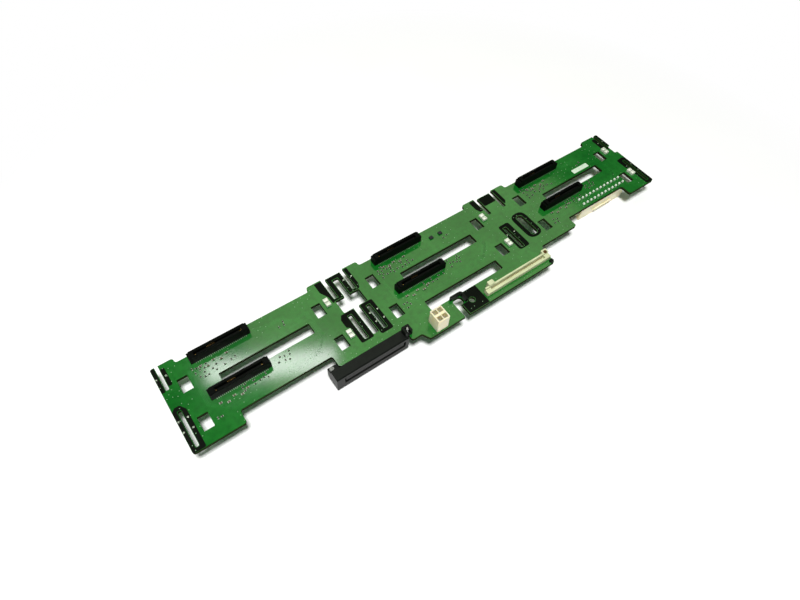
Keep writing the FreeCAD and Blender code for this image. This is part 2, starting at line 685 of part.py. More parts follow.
def make_drive_contacts(label, along, across):
    """Blades against the slot's walls: data, supply and the second data port behind."""
    body = new_body(label, along, across)
    groups = [
        ("data", "-1", "data_start", "contact_width", "data_count", "contact_pitch"),
        ("supply", "-1", "data_start + contact_pitch * (data_count - 1) + port_gap",
         "contact_width", "supply_count", "contact_pitch"),
        ("second", "1", "data_start + contact_pitch * (data_count - 1)"
         " + (port_gap - fine_pitch * (data_count - 1)) / 2",
         "fine_width", "data_count", "fine_pitch"),
    ]
    for name, side, start, width, count, pitch in groups:
        foot = new_sketch(body, name)
        draw_centred_box(foot, start, f"{side} * (drive_slot_width - contact_strip) / 2",
                         width, "contact_strip")
        blade = pad(body, foot, "drive_rise - contact_drop")
        repeat(body, [blade], count, pitch)
    return body


# ---------------------------------------------------------------- power headers

def header_span(columns):
    """A header along the board, as long as its columns of pins."""
    return f"(pin_pitch * ({columns} - 1) + cavity_side + header_wall * 2)"


HEADER_DEPTH = "(pin_row_pitch + cavity_side + header_wall * 2)"


def make_power_housing(label, name, up, flipped):
    """A shrouded power header: square cavities in a block, with a latch ramp."""
    columns = f"{name}_columns"
    body = new_body(label, f"{name}_x", f"{name}_y", up, flipped)
    block = new_sketch(body, "block")
    draw_centred_box(block, "0", "0", header_span(columns), HEADER_DEPTH)
    pad(body, block, "header_rise")
    dress(body, "Fillet", "upright_corners", "header_round", is_upright)
    cavity = new_sketch(body, "cavity", lift="header_rise")
    draw_centred_box(cavity, f"-pin_pitch * ({columns} - 1) / 2", "-pin_row_pitch / 2",
                     "cavity_side", "cavity_side")
    cut = pocket(body, cavity, "cavity_depth")
    repeat(body, [cut], columns, "pin_pitch", "2", "pin_row_pitch")
    shaft = new_sketch(body, "pin_shaft")
    draw_centred_box(shaft, f"-pin_pitch * ({columns} - 1) / 2", "-pin_row_pitch / 2", "pin_side", "pin_side")
    well = pocket(body, shaft, "header_rise", upwards=True)
    repeat(body, [well], columns, "pin_pitch", "2", "pin_row_pitch")
    ramp = new_sketch(body, "latch", plane="YZ_Plane")
    face = f"{HEADER_DEPTH} / 2"
    top = "header_rise - latch_drop"
    draw_outline(ramp, [
        (f"{face} - latch_root", top), (f"{face} + latch_depth", f"{top} - latch_length"),
        (f"{face} - latch_root", f"{top} - latch_length"),
    ])
    pad(body, ramp, f"latch_width * {columns} / 2", both_ways=True)
    return body


def make_power_pins(label, name, up, flipped):
    """Square pins that stand in the cavities and pass right through the board."""
    columns = f"{name}_columns"
    body = new_body(label, f"{name}_x", f"{name}_y", up, flipped)
    pin = new_sketch(body, "pin", lift="-board_thickness - pin_tail")
    draw_centred_box(pin, f"-pin_pitch * ({columns} - 1) / 2", "-pin_row_pitch / 2", "pin_side", "pin_side")
    rod = pad(body, pin, "board_thickness + pin_tail + header_rise - pin_tip_drop")
    repeat(body, [rod], columns, "pin_pitch", "2", "pin_row_pitch")
    return body


# ---------------------------------------------------------------- cable header

def make_cable_housing():
    """A long low trough with a tall rear wall and an ear behind each end."""
    body = new_body("cable_header_housing", "cable_start", "cable_front")
    section = new_sketch(body, "section", plane="YZ_Plane")
    draw_outline(section, [
        ("0", "0"), ("cable_depth", "0"), ("cable_depth", "cable_rise"),
        ("cable_depth - cable_wall", "cable_rise"), ("cable_depth - cable_wall", "cable_front_rise"),
        ("0", "cable_front_rise"),
    ])
    pad(body, section, "cable_length")
    trench = new_sketch(body, "trench", lift="cable_front_rise")
    draw_box(trench, "cable_end_wall", "cable_length - cable_end_wall",
             "cable_wall", "cable_depth - cable_wall")
    pocket(body, trench, "cable_front_rise - cable_floor")
    left = new_sketch(body, "left_ear")
    draw_box(left, "left_ear_start", "left_ear_start + ear_length", "cable_depth - cable_wall",
             "cable_depth + ear_reach")
    pad(body, left, "left_ear_rise")
    right = new_sketch(body, "right_ear")
    draw_box(right, "cable_length - ear_length", "cable_length",
             "cable_depth - cable_wall", "cable_depth + ear_reach")
    pad(body, right, "cable_rise")
    hole = new_sketch(body, "ear_hole", lift="cable_rise")
    draw_circle(hole, "cable_length - ear_length / 2", "cable_depth + ear_reach - ear_length / 2", "ear_hole")
    pocket(body, hole)
    rounded = [("cable_length", "cable_depth + ear_reach"),
               ("cable_length - ear_length", "cable_depth + ear_reach"),
               ("left_ear_start", "cable_depth + ear_reach"),
               ("left_ear_start + ear_length", "cable_depth + ear_reach")]
    dress(body, "Fillet", "ear_corners", "min(ear_length; ear_reach) * 0.3", upright_at(rounded))
    return body


def make_cable_contacts():
    """Two rows of contacts that stand up in the trench, against its walls."""
    body = new_body("cable_header_contacts", "cable_start", "cable_front", "cable_floor")
    first = "cable_length / 2 - cable_pitch * (cable_count - 1) / 2"
    post = new_sketch(body, "post")
    draw_centred_box(post, first, "cable_wall + cable_contact_depth / 2",
                     "cable_contact", "cable_contact_depth")
    blade = pad(body, post, "cable_front_rise - cable_floor - cable_contact_drop")
    repeat(body, [blade], "cable_count", "cable_pitch",
           "2", "cable_depth - cable_wall * 2 - cable_contact_depth")
    return body


def make_turned(label, along, across, up, profile, flipped=False):
    """A turned piece: half of its section, as pairs of radius and height, spun about Z."""
    body = new_body(label, along, across, up, flipped)
    half = new_sketch(body, "half_section", plane="XZ_Plane")
    draw_outline(half, profile)
    spin = body.newObject("PartDesign::Revolution", f"{body.Name}_turned")
    spin.Profile = half
    spin.ReferenceAxis = (half, ["V_Axis"])
    spin.Angle = 360
    return body


def make_ear_rivet():
    """The rivet that holds the cable header's right ear down."""
    return make_turned(
        "cable_header_rivet", "cable_start + cable_length - ear_length / 2",
        "cable_front + cable_depth + ear_reach - ear_length / 2", "cable_rise",
        [("0", "-cable_rise"), ("ear_hole / 2 - hole_clearance / 2", "-cable_rise"),
         ("ear_hole / 2 - hole_clearance / 2", "0"), ("rivet_head / 2", "0"),
         ("rivet_head / 2 - rivet_rise / 2", "rivet_rise"), ("0", "rivet_rise")])


def make_corner_peg():
    """A snap peg at the tongue's corner: a low head and a shank through the board."""
    return make_turned(
        "corner_peg", "corner_peg_x", "corner_peg_y", "0",
        [("0", "-board_thickness - corner_peg_tail"),
         ("corner_peg_shank / 2", "-board_thickness - corner_peg_tail"), ("corner_peg_shank / 2", "0"),
         ("corner_peg_head / 2", "0"), ("corner_peg_head / 2 * 0.8", "corner_peg_rise"),
         ("0", "corner_peg_rise")])


def make_hook_rib():
    """A moulded rib that bends round the head of the open slot and guides the cage's hook."""
    body = new_body("hook_rib", "0", "0")
    left = "hook_slot_start - rib_wall / 2"
    inside = "hook_slot_start + hook_slot_head + seat_clearance"
    outside = f"{inside} + rib_wall"
    low, high = "hook_slot_top + seat_clearance", "low_slot_edge - seat_clearance"
    bend = new_sketch(body, "bend")
    draw_outline(bend, [
        (left, low), (inside, low), (inside, "hook_slot_neck"), (outside, "hook_slot_neck"),
        (outside, high), (left, high),
    ])
    pad(body, bend, "rib_rise")
    dress(body, "Fillet", "outer_bend", "rib_round", upright_at([(outside, high)]))
    dress(body, "Fillet", "inner_bend", "rib_round / 3", upright_at([(inside, low)]))
    return body


# ---------------------------------------------------------------- edge connector

EDGE_END = "(tongue_start - router_radius - seat_clearance)"
EDGE_SPAN = f"({EDGE_END} - edge_start)"
MOUTH_MIDDLE = "(-mouth_top_wall - mouth_height / 2)"


def make_edge_housing():
    """A right-angle receptacle: it hangs on the far side and fills up to the drive side
    in front of the board's edge, with a bladed mouth that faces away from the drives."""
    body = new_body("edge_connector_housing", "edge_start", "0")
    shoulder = "-board_thickness"
    section = new_sketch(body, "section", plane="YZ_Plane")
    draw_outline(section, [
        ("-edge_reach", "-edge_drop"), ("edge_back - edge_heel", "-edge_drop"),
        ("edge_back", "-edge_drop + edge_heel"), ("edge_back", shoulder),
        ("-seat_clearance", shoulder), ("-seat_clearance", "0"), ("-edge_reach", "0"),
    ])
    pad(body, section, EDGE_SPAN)
    dress(body, "Chamfer", "front_bevel", "mouth_top_wall / 4",
          lambda edge: level_at("0", along_only=True)(edge)
          and abs(edge.Vertexes[0].Point.y + number("edge_reach")) < 1e-4)
    mouth = new_sketch(body, "mouth", plane="XZ_Plane", lift="edge_reach")
    draw_box(mouth, "mouth_start", f"{EDGE_SPAN} - mouth_end_wall",
             "-mouth_top_wall - mouth_height", "-mouth_top_wall")
    pocket(body, mouth, "mouth_depth")
    blade = new_sketch(body, "blade", plane="XZ_Plane", lift="edge_reach - mouth_depth")
    draw_box(blade, "mouth_start + blade_inset", f"{EDGE_SPAN} - mouth_end_wall - blade_inset",
             f"{MOUTH_MIDDLE} - tongue_blade / 2", f"{MOUTH_MIDDLE} + tongue_blade / 2")
    pad(body, blade, "mouth_depth - blade_setback")
    return body


def make_edge_contacts():
    """Contact strips on both sides of the blade, and a row of solder tails behind."""
    body = new_body("edge_connector_contacts", "edge_start", "0")
    strips = new_sketch(body, "strips", plane="XZ_Plane", lift="edge_reach - mouth_depth")
    for side in ("-", "+"):
        middle = f"{MOUTH_MIDDLE} {side} (tongue_blade + edge_contact_height) / 2"
        draw_centred_box(strips, "edge_first", middle, "edge_contact", "edge_contact_height")
    faces = pad(body, strips, "mouth_depth - blade_setback * 1.5")
    repeat(body, [faces], "edge_count", "edge_pitch")
    tails = new_sketch(body, "tails", lift="-board_thickness")
    draw_box(tails, "edge_first - edge_contact / 2", "edge_first + edge_contact / 2",
             "edge_back", "edge_back + edge_tail")
    feet = pad(body, tails, "edge_tail_height", down=True)
    repeat(body, [feet], "edge_count", "edge_pitch")
    return body


def make_guide_block():
    """A moulded block over the connector's right end, slotted for the guide pin."""
    body = new_body("guide_block", f"{EDGE_END} - guide_overhang", "-guide_setback - guide_depth")
    block = new_sketch(body, "block")
    draw_box(block, "0", "guide_width", "0", "guide_depth")
    pad(body, block, "guide_rise")
    dress(body, "Fillet", "block_corners", "guide_width * 0.1", is_upright)
    slot = new_sketch(body, "slot", lift="guide_rise")
    draw_centred_box(slot, "guide_width / 2", "guide_depth / 4", "guide_slot", "guide_depth / 2 + guide_slot")
    pocket(body, slot, "guide_rise * 0.8")
    bore = new_sketch(body, "bore")
    draw_circle(bore, "guide_width / 2", "guide_depth / 4 + guide_slot / 2", "guide_pin + hole_clearance")
    pocket(body, bore, "guide_rise", upwards=True)
    return body


def make_guide_pin():
    """The steel pin in the guide block, with a tapered nose."""
    return make_turned(
        "guide_pin", f"{EDGE_END} - guide_overhang + guide_width / 2",
        "-guide_setback - guide_depth * 3 / 4 + guide_slot / 2", "0",
        [("0", "0"), ("guide_pin / 2", "0"), ("guide_pin / 2", "guide_pin_rise - guide_pin / 2"),
         ("guide_pin / 4", "guide_pin_rise"), ("0", "guide_pin_rise")])


def make_hold_down():
    """The plated stud on the connector's left shoulder, seen through the notch."""
    return make_turned(
        "hold_down_stud", "hold_down_x", "hold_down_y", "-board_thickness",
        [("0", "0"), ("hold_down_head / 2", "0"), ("hold_down_head * 0.4", "hold_down_rise"),
         ("0", "hold_down_rise")])


# ---------------------------------------------------------------- lamps and small parts

def make_lamps(label, lift):
    """One lamp of every bay: a white package with a reflector cup."""
    body = new_body(label, "0", "0")
    packages = new_sketch(body, "packages")
    cups = new_sketch(body, "cups", lift="lamp_rise")
    for column in range(COLUMNS):
        x = f"lamp_x + {right_shift(column)}"
        draw_centred_box(packages, x, f"lamp_y + {lift}", "lamp_length", "lamp_width")
        draw_centred_box(cups, x, f"lamp_y + {lift}", "lamp_cup", "lamp_cup * 0.85")
    block = pad(body, packages, "lamp_rise")
    cup = pocket(body, cups, "lamp_cup_depth")
    repeat(body, [block, cup], "1", "1", "row_count", "row_pitch")
    return body


def make_chips(label, side, places, length, width, rise):
    """Small block parts on one side of the board, repeated for every bay."""
    flipped = side == "far"
    body = new_body(label, "0", "0", "-board_thickness" if flipped else "0", flipped)
    blocks = new_sketch(body, "blocks")
    for x, y in places:
        draw_centred_box(blocks, x, f"-({y})" if flipped else y, length, width)
    block = pad(body, blocks, rise)
    repeat(body, [block], "column_count", "column_pitch", "row_count", "row_pitch", backwards=flipped)
    return body


def make_single_chip(label, x, y, length, width, rise, bevel, flipped):
    """A moulded package with drafted upper edges."""
    body = new_body(label, x, y, "-board_thickness" if flipped else "0", flipped)
    block = new_sketch(body, "block")
    draw_centred_box(block, "0", "0", length, width)
    pad(body, block, rise)
    dress(body, "Chamfer", "upper_edges", bevel, level_at(rise))
    return body


def make_sensors():
    """Two small sensor chips above the middle air slot."""
    body = new_body("sensor_chips", "0", "0")
    blocks = new_sketch(body, "blocks")
    draw_centred_box(blocks, "sensor_x", "sensor_y", "sensor_length", "sensor_width")
    block = pad(body, blocks, "sensor_rise")
    repeat(body, [block], "2", "sensor_step")
    return body


def make_controller_leads():
    """Gull-wing leads on all four sides of the controller."""
    body = new_body("controller_leads", "controller_x", "controller_y", "-board_thickness", True)
    side = "controller_side / 2"
    shoulder = "controller_rise / 2"
    profile = new_sketch(body, "lead", plane="XZ_Plane", lift="lead_pitch * (lead_count - 1) / 2")
    draw_outline(profile, [
        (side, f"{shoulder} - lead_strip"), (f"{side} + lead_reach * 0.3", "0"),
        (f"{side} + lead_reach", "0"), (f"{side} + lead_reach", "lead_strip"),
        (f"{side} + lead_reach * 0.5", "lead_strip"), (side, shoulder),
    ])
    lead = pad(body, profile, "lead_width", both_ways=True)
    rows = body.newObject("PartDesign::LinearPattern", "lead_row")
    rows.Direction = (origin_part(body, "Y_Axis"), [""])
    rows.Mode = "Spacing"
    rows.setExpression("Occurrences", bind("lead_count"))
    rows.setExpression("Offset", bind("lead_pitch"))
    turns = body.newObject("PartDesign::PolarPattern", "lead_sides")
    turns.Axis = (origin_part(body, "Z_Axis"), [""])
    turns.Angle = 360
    turns.Occurrences = 4
    both = body.newObject("PartDesign::MultiTransform", "all_leads")
    both.Originals = [lead]
    both.Transformations = [rows, turns]
    body.Tip = both
    return body


# ---------------------------------------------------------------- build everything

def make_all():
    """Every sub-part, in the order in which the board is put together."""
    parts = [make_board()]
    bay = 0
    for level in range(ROWS):
        for column in range(COLUMNS):
            bay += 1
            along = f"connector_start + drive_length / 2 + column_pitch * {column}"
            across = f"row_start + row_pitch * {level}"
            parts.append(make_drive_housing(f"drive_connector_{bay}", along, across))
            parts.append(make_drive_contacts(f"drive_contacts_{bay}", along, across))
    far = "-board_thickness"
    parts += [
        make_edge_housing(), make_edge_contacts(), make_guide_block(), make_guide_pin(), make_hold_down(),
        make_power_housing("front_power_housing", "front_header", "0", False),
        make_power_pins("front_power_pins", "front_header", "0", False),
        make_power_housing("rear_power_housing", "rear_header", far, True),
        make_power_pins("rear_power_pins", "rear_header", far, True),
        make_cable_housing(), make_cable_contacts(), make_ear_rivet(), make_corner_peg(), make_hook_rib(),
        make_lamps("status_lamps", "lamp_step"), make_lamps("activity_lamps", "0"),
        make_sensors(),
    ]
    capacitors = [(f"capacitor_x + capacitor_step * {i}",
                   f"row_start - capacitor_drop - capacitor_stagger * {i % 2}") for i in range(5)]
    parts.append(make_chips("bay_capacitors", "near", capacitors, "capacitor_length",
                            "capacitor_width", "capacitor_rise"))
    resistors = [(f"resistor_x + resistor_step * {i}", "row_start - resistor_drop") for i in range(5)]
    parts.append(make_chips("rear_resistors", "far", resistors, "resistor_length",
                            "resistor_width", "resistor_rise"))
    reservoirs = [("reservoir_x", "row_start")]
    parts.append(make_chips("reservoir_capacitors", "far", reservoirs, "reservoir_length",
                            "reservoir_width", "reservoir_rise"))
    parts += [
        make_single_chip("bay_controller", "controller_x", "controller_y", "controller_side",
                         "controller_side", "controller_rise", "controller_rise / 8", True),
        make_controller_leads(),
        make_single_chip("memory_chip", "memory_x", "controller_y", "memory_length",
                         "memory_width", "memory_rise", "memory_rise / 6", True),
        make_single_chip("clock_crystal", "crystal_x", "controller_y", "crystal_length",
                         "crystal_width", "crystal_rise", "crystal_rise / 6", True),
    ]
    return parts


def check_and_export(parts):
    """Stop on any failed object or bad shape, then write one file for each sub-part."""
    doc.recompute()
    for thing in doc.Objects:
        if "Invalid" in thing.State or "Error" in thing.State:
            raise RuntimeError(f"{thing.Name} failed: {thing.State}")
    for part in parts:
        if part.Shape.isNull() or not part.Shape.isValid() or not part.Shape.Solids:
            raise RuntimeError(f"{part.Label} has no valid solid")
    os.makedirs("parts", exist_ok=True)
    for part in parts:
        part.Shape.exportStep(f"parts/{part.Label}.step")
        box = part.Shape.BoundBox
        print(f"{part.Label}: {len(part.Shape.Solids)} solids, {part.Shape.Volume:.1f} mm3, "
              f"z {box.ZMin:.2f} to {box.ZMax:.2f}")
    print(f"{len(parts)} sub-parts written")


check_and_export(make_all())
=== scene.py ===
# %% [markdown]
# # A drive backplane board
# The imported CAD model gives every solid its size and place. This lesson dresses it: each
# moulding, contact and chip gets the finish of its real material, and the thin things that
# lie on a circuit board, such as bare black zones, solder, vias and tracks, are added as
# pieces of their own.

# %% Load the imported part
import bmesh
import bpy
import json
import math
from mathutils import Matrix, Vector


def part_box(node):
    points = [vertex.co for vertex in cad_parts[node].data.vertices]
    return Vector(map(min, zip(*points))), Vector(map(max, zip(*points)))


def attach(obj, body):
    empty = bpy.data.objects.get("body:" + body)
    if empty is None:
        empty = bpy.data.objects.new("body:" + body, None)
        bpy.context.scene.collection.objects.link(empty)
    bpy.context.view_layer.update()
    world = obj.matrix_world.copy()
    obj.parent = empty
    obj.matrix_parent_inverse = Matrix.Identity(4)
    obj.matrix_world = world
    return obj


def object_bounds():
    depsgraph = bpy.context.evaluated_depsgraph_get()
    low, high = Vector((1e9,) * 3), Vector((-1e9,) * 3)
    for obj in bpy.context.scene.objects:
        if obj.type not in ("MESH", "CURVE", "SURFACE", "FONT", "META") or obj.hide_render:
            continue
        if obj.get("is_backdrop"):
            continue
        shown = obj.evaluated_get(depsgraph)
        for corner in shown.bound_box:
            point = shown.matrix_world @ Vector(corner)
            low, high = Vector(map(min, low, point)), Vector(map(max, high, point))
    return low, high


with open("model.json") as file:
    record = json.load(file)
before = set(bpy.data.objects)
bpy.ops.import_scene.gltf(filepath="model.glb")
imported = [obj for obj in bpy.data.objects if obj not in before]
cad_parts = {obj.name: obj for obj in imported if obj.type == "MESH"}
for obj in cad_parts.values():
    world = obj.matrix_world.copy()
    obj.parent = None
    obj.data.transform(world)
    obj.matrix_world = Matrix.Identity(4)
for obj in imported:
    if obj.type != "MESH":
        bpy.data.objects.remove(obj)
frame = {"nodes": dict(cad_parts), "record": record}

MM = 0.001
NODES = frame["nodes"]
CAD_BOX = [list(corner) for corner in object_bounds()]
BOARD_LOW, BOARD_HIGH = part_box("circuit_board")
BOARD_LENGTH = (BOARD_HIGH.x - BOARD_LOW.x) / MM
print(f"{len(NODES)} nodes, board {BOARD_LENGTH:.1f} mm long")

# %% [markdown]
# ## Places on the board
# The board's drawing measures from its left edge and from the lower datum line, which runs
# 8 mm above the screw hole. Most features repeat in three drive columns, so one function
# turns a place on the drawing into the frame of the model, and the columns are a list of
# shifts along the board.

# %% Places
DATUM_ABOVE_SCREW = 8.0
COLUMN_PITCH = 143.0
COLUMNS = [0.0, COLUMN_PITCH, COLUMN_PITCH * 2]
ROW_PITCH = 30.3


def at(x, y, z=0.0):
    """A place on the board's drawing, in millimetres, as a point of the model."""
    return Vector((BOARD_LOW.x + x * MM, (y + DATUM_ABOVE_SCREW) * MM, z * MM))


print(f"the far side lies at {BOARD_LOW.z / MM:.1f} mm")

# %% [markdown]
# ## Camera
# The board lies flat and is seen from its left front corner, high up and a little rolled.
# A short lens close to it makes the near end clearly larger than the far end. Three angles
# could turn the camera, but they are hard to read: it is aimed at a point on the board,
# then rolled about its own axis.

# %% Camera
LENS, SENSOR = 25.63, 36.0
FRAMING_SHIFT = -0.0037
NEAREST_SEEN = 0.01
CAMERA_PLACE = Vector((-0.18213, -0.14472, 0.33610))
CAMERA_AIM = Vector((-0.03974, 0.02941, 0.0))
CAMERA_ROLL = math.radians(4.37)


def placed(name, data):
    """A new object of the scene that holds the data."""
    thing = bpy.data.objects.new(name, data)
    bpy.context.scene.collection.objects.link(thing)
    return thing


camera = placed("camera", bpy.data.cameras.new("camera"))
bpy.context.scene.camera = camera
camera.data.lens, camera.data.sensor_width = LENS, SENSOR
camera.data.shift_x = camera.data.shift_y = FRAMING_SHIFT
camera.data.clip_start = NEAREST_SEEN
aim = (CAMERA_AIM - CAMERA_PLACE).to_track_quat("-Z", "Y").to_matrix()
turned = aim @ Matrix.Rotation(CAMERA_ROLL, 3, "Z")
camera.matrix_world = Matrix.Translation(CAMERA_PLACE) @ turned.to_4x4()
bpy.context.view_layer.update()
print("camera up", [round(v, 4) for v in camera.matrix_world.to_3x3().col[1]])

# %% [markdown]
# ## Finishes
# Every material is a small node tree on the model's own coordinates, so a pattern keeps its
# real size wherever the piece lies. Colours are written as a colour picker shows them, in
# sRGB hex, and a helper turns them into the linear values that light is added up in.

# %% Colours
def linear(hex_colour):
    """An sRGB hex colour as linear red, green, blue and alpha."""
    parts = [int(hex_colour[i:i + 2], 16) / 255 for i in (0, 2, 4)]
    return (*[c / 12.92 if c <= 0.04045 else ((c + 0.055) / 1.055) ** 2.4 for c in parts], 1.0)


print(f"the grey 808080 is {linear('808080')[0]:.3f} in linear light")


# %% [markdown]
# ### Adding nodes
# One function adds any node with its settings and its links in a single call, so that a tree
# reads from top to bottom like a recipe. A second one starts every material with its shader.

# %% Nodes
def add(tree, kind, settings=None, inputs=None):
    """A new node with its settings; an input takes a value or another node's output."""
    node = tree.nodes.new(kind)
    for name, value in (settings or {}).items():
        setattr(node, name, value)
    for name, value in (inputs or {}).items():
        if isinstance(value, bpy.types.NodeSocket):
            tree.links.new(value, node.inputs[name])
        else:
            node.inputs[name].default_value = value
    return node


def start_finish(name, **constants):
    """A material with a Principled shader; constants are set on the shader's own sockets."""
    material = bpy.data.materials.new(name)
    material.use_nodes = True
    tree = material.node_tree
    tree.nodes.clear()
    shader = add(tree, "ShaderNodeBsdfPrincipled", inputs=constants)
    add(tree, "ShaderNodeOutputMaterial", inputs={"Surface": shader.outputs["BSDF"]})
    place = add(tree, "ShaderNodeTexCoord").outputs["Object"]
    return material, tree, shader, place


# %% [markdown]
# ### Patterns
# A real surface differs from a flat colour by clouds of tone, by patches of gloss and by a
# fine relief. All three come from noise, whose size is given in real millimetres.

# %% Patterns
def grain(tree, place, size_mm, detail=2.0):
    """Noise whose blotches are about size_mm across."""
    return add(tree, "ShaderNodeTexNoise", inputs={
        "Vector": place, "Scale": 1.0 / (size_mm * MM), "Detail": detail, "Roughness": 0.5,
    }).outputs["Fac"]


def blend(tree, factor, low, high):
    """Colour that runs from low to high with the factor."""
    mix = add(tree, "ShaderNodeMix", {"data_type": "RGBA"}, {"Factor": factor})
    for socket, colour in ((mix.inputs[6], low), (mix.inputs[7], high)):
        if isinstance(colour, bpy.types.NodeSocket):
            tree.links.new(colour, socket)
        else:
            socket.default_value = linear(colour)
    return mix.outputs[2]


def span(tree, value, from_low, from_high, to_low=0.0, to_high=1.0):
    """The value stretched from one range to another, and held at its ends."""
    return add(tree, "ShaderNodeMapRange", inputs={
        "Value": value, "From Min": from_low, "From Max": from_high,
        "To Min": to_low, "To Max": to_high,
    }).outputs["Result"]


def bumped(tree, shader, height, depth_mm):
    """Gives the shader a surface relief of that depth."""
    bump = add(tree, "ShaderNodeBump", inputs={
        "Height": height, "Distance": depth_mm * MM, "Strength": 1.0,
    })
    tree.links.new(bump.outputs["Normal"], shader.inputs["Normal"])


# %% [markdown]
# ### Solder mask over laminate
# The board is glass-epoxy laminate with copper on both faces and a green epoxy mask screened
# over it. The mask is made as a clear coat on a matt base: a single glossy layer would spread
# the light of the lamps over the green and turn it milky. The tone is cloudy over the copper
# and mottled with darker ink, and the coat has an orange peel. The routed edges have no mask:
# there the laminate shows its brown-green glass layers, painted darker than bare laminate as
# painted shade for the walls of the slots and holes. The side walls are told from the
# faces by the direction they look in.

# %% Solder mask
# Sizes are in millimetres. The peel and the glass layers are drawn coarser than real ones,
# which are too fine to show.
POUR, MOTTLE, GLASS_LAYER = 38.0, 3.5, 0.4
PEEL, PEEL_DEPTH = 1.1, 0.008
WAVE_TURN = 6.283  # a wave texture repeats after a full turn, in radians


def make_solder_mask(name, low, high, deep):
    """Green mask on the faces and bare glass layers on the routed edges."""
    material, tree, shader, place = start_finish(name, **{
        "Roughness": 0.6, "Specular IOR Level": 0.0, "Coat Roughness": 0.1, "Coat IOR": 1.8})
    cloud = span(tree, grain(tree, place, POUR), 0.35, 0.65)
    copper = blend(tree, cloud, low, high)
    mottle = span(tree, grain(tree, place, MOTTLE, detail=3.0), 0.42, 0.72)
    face = blend(tree, span(tree, mottle, 0.0, 1.0, 0.0, 0.35), copper, deep)
    layers = add(tree, "ShaderNodeTexWave", {"bands_direction": "Z"}, {
        "Vector": place, "Scale": 1.0 / (GLASS_LAYER * MM) / WAVE_TURN,
        "Distortion": 1.5, "Detail": 2.0}).outputs["Fac"]
    # The wall colour is painted shade: the laminate's brown-green darkened for the shade on the
    # routed walls.
    edge = blend(tree, layers, "1B2214", "353A24")
    wall = add(tree, "ShaderNodeNewGeometry").outputs["Normal"]
    up = add(tree, "ShaderNodeSeparateXYZ", inputs={"Vector": wall}).outputs["Z"]
    level = add(tree, "ShaderNodeMath", {"operation": "ABSOLUTE"}, {0: up}).outputs["Value"]
    masked = span(tree, level, 0.4, 0.6)
    tree.links.new(blend(tree, masked, edge, face), shader.inputs["Base Color"])
    tree.links.new(masked, shader.inputs["Coat Weight"])
    bumped(tree, shader, grain(tree, place, PEEL), PEEL_DEPTH)
    return material


# %% [markdown]
# ### Mouldings
# The receptacles are glass-filled plastic: nearly black, satin, with a faint speckle where
# fibres reach the surface. The cable header is a high-temperature ivory plastic and the
# power headers are natural nylon, warm and slightly waxy. Each could have a tree of its own,
# but they differ only in colour, gloss and the depth of their grain, so one function serves
# them all. Broad flow marks keep a large moulding from looking flat.

# %% Moulded plastics
FLOW_MARK = 14  # in widths of a grain, because the grain alone is too fine to show


def make_moulding(name, dark, light, roughness, grain_mm, depth_mm, shine=0.5, waxy=0.0):
    """A moulded plastic or ceramic with a speckle, flow marks and a fine relief."""
    material, tree, shader, place = start_finish(name, **{
        "IOR": 1.5, "Specular IOR Level": shine, "Subsurface Weight": waxy,
        "Subsurface Radius": (2.0, 1.6, 1.0), "Subsurface Scale": MM})
    speckle = span(tree, grain(tree, place, grain_mm, detail=3.0), 0.35, 0.7)
    flow = span(tree, grain(tree, place, grain_mm * FLOW_MARK), 0.3, 0.7)
    tone = blend(tree, flow, dark, light)
    tree.links.new(blend(tree, span(tree, speckle, 0.0, 1.0, 0.0, 0.5), tone, light),
                   shader.inputs["Base Color"])
    tree.links.new(span(tree, speckle, 0.0, 1.0, roughness * 0.85, roughness * 1.2),
                   shader.inputs["Roughness"])
    bumped(tree, shader, grain(tree, place, grain_mm * 0.6), depth_mm)
    return material


# %% [markdown]
# ### Metals
# Contacts are copper alloy plated with gold where they touch and tin where they are
# soldered. The plating is duller in small patches, where its gloss and its tone change
# together, which gives tin its frosted look. Dusty or thinly plated metal is only partly
# metallic.

# %% Plated metals
PLATING_RELIEF = 0.004


def make_metal(name, dark, light, roughness, grain_mm, metallic=1.0):
    """A plated or soldered metal with patches of duller plating."""
    material, tree, shader, place = start_finish(name, Metallic=metallic)
    patch = span(tree, grain(tree, place, grain_mm, detail=3.0), 0.3, 0.7)
    tree.links.new(blend(tree, patch, dark, light), shader.inputs["Base Color"])
    tree.links.new(span(tree, patch, 0.0, 1.0, roughness * 0.7, roughness * 1.35),
                   shader.inputs["Roughness"])
    bumped(tree, shader, grain(tree, place, grain_mm * 0.3), PLATING_RELIEF)
    return material


# %% [markdown]
# ### The set of finishes
# Each material slot of the record gets one finish. The numbers after its two colours are
# the roughness, the size of the grain and the depth of the relief in millimetres.

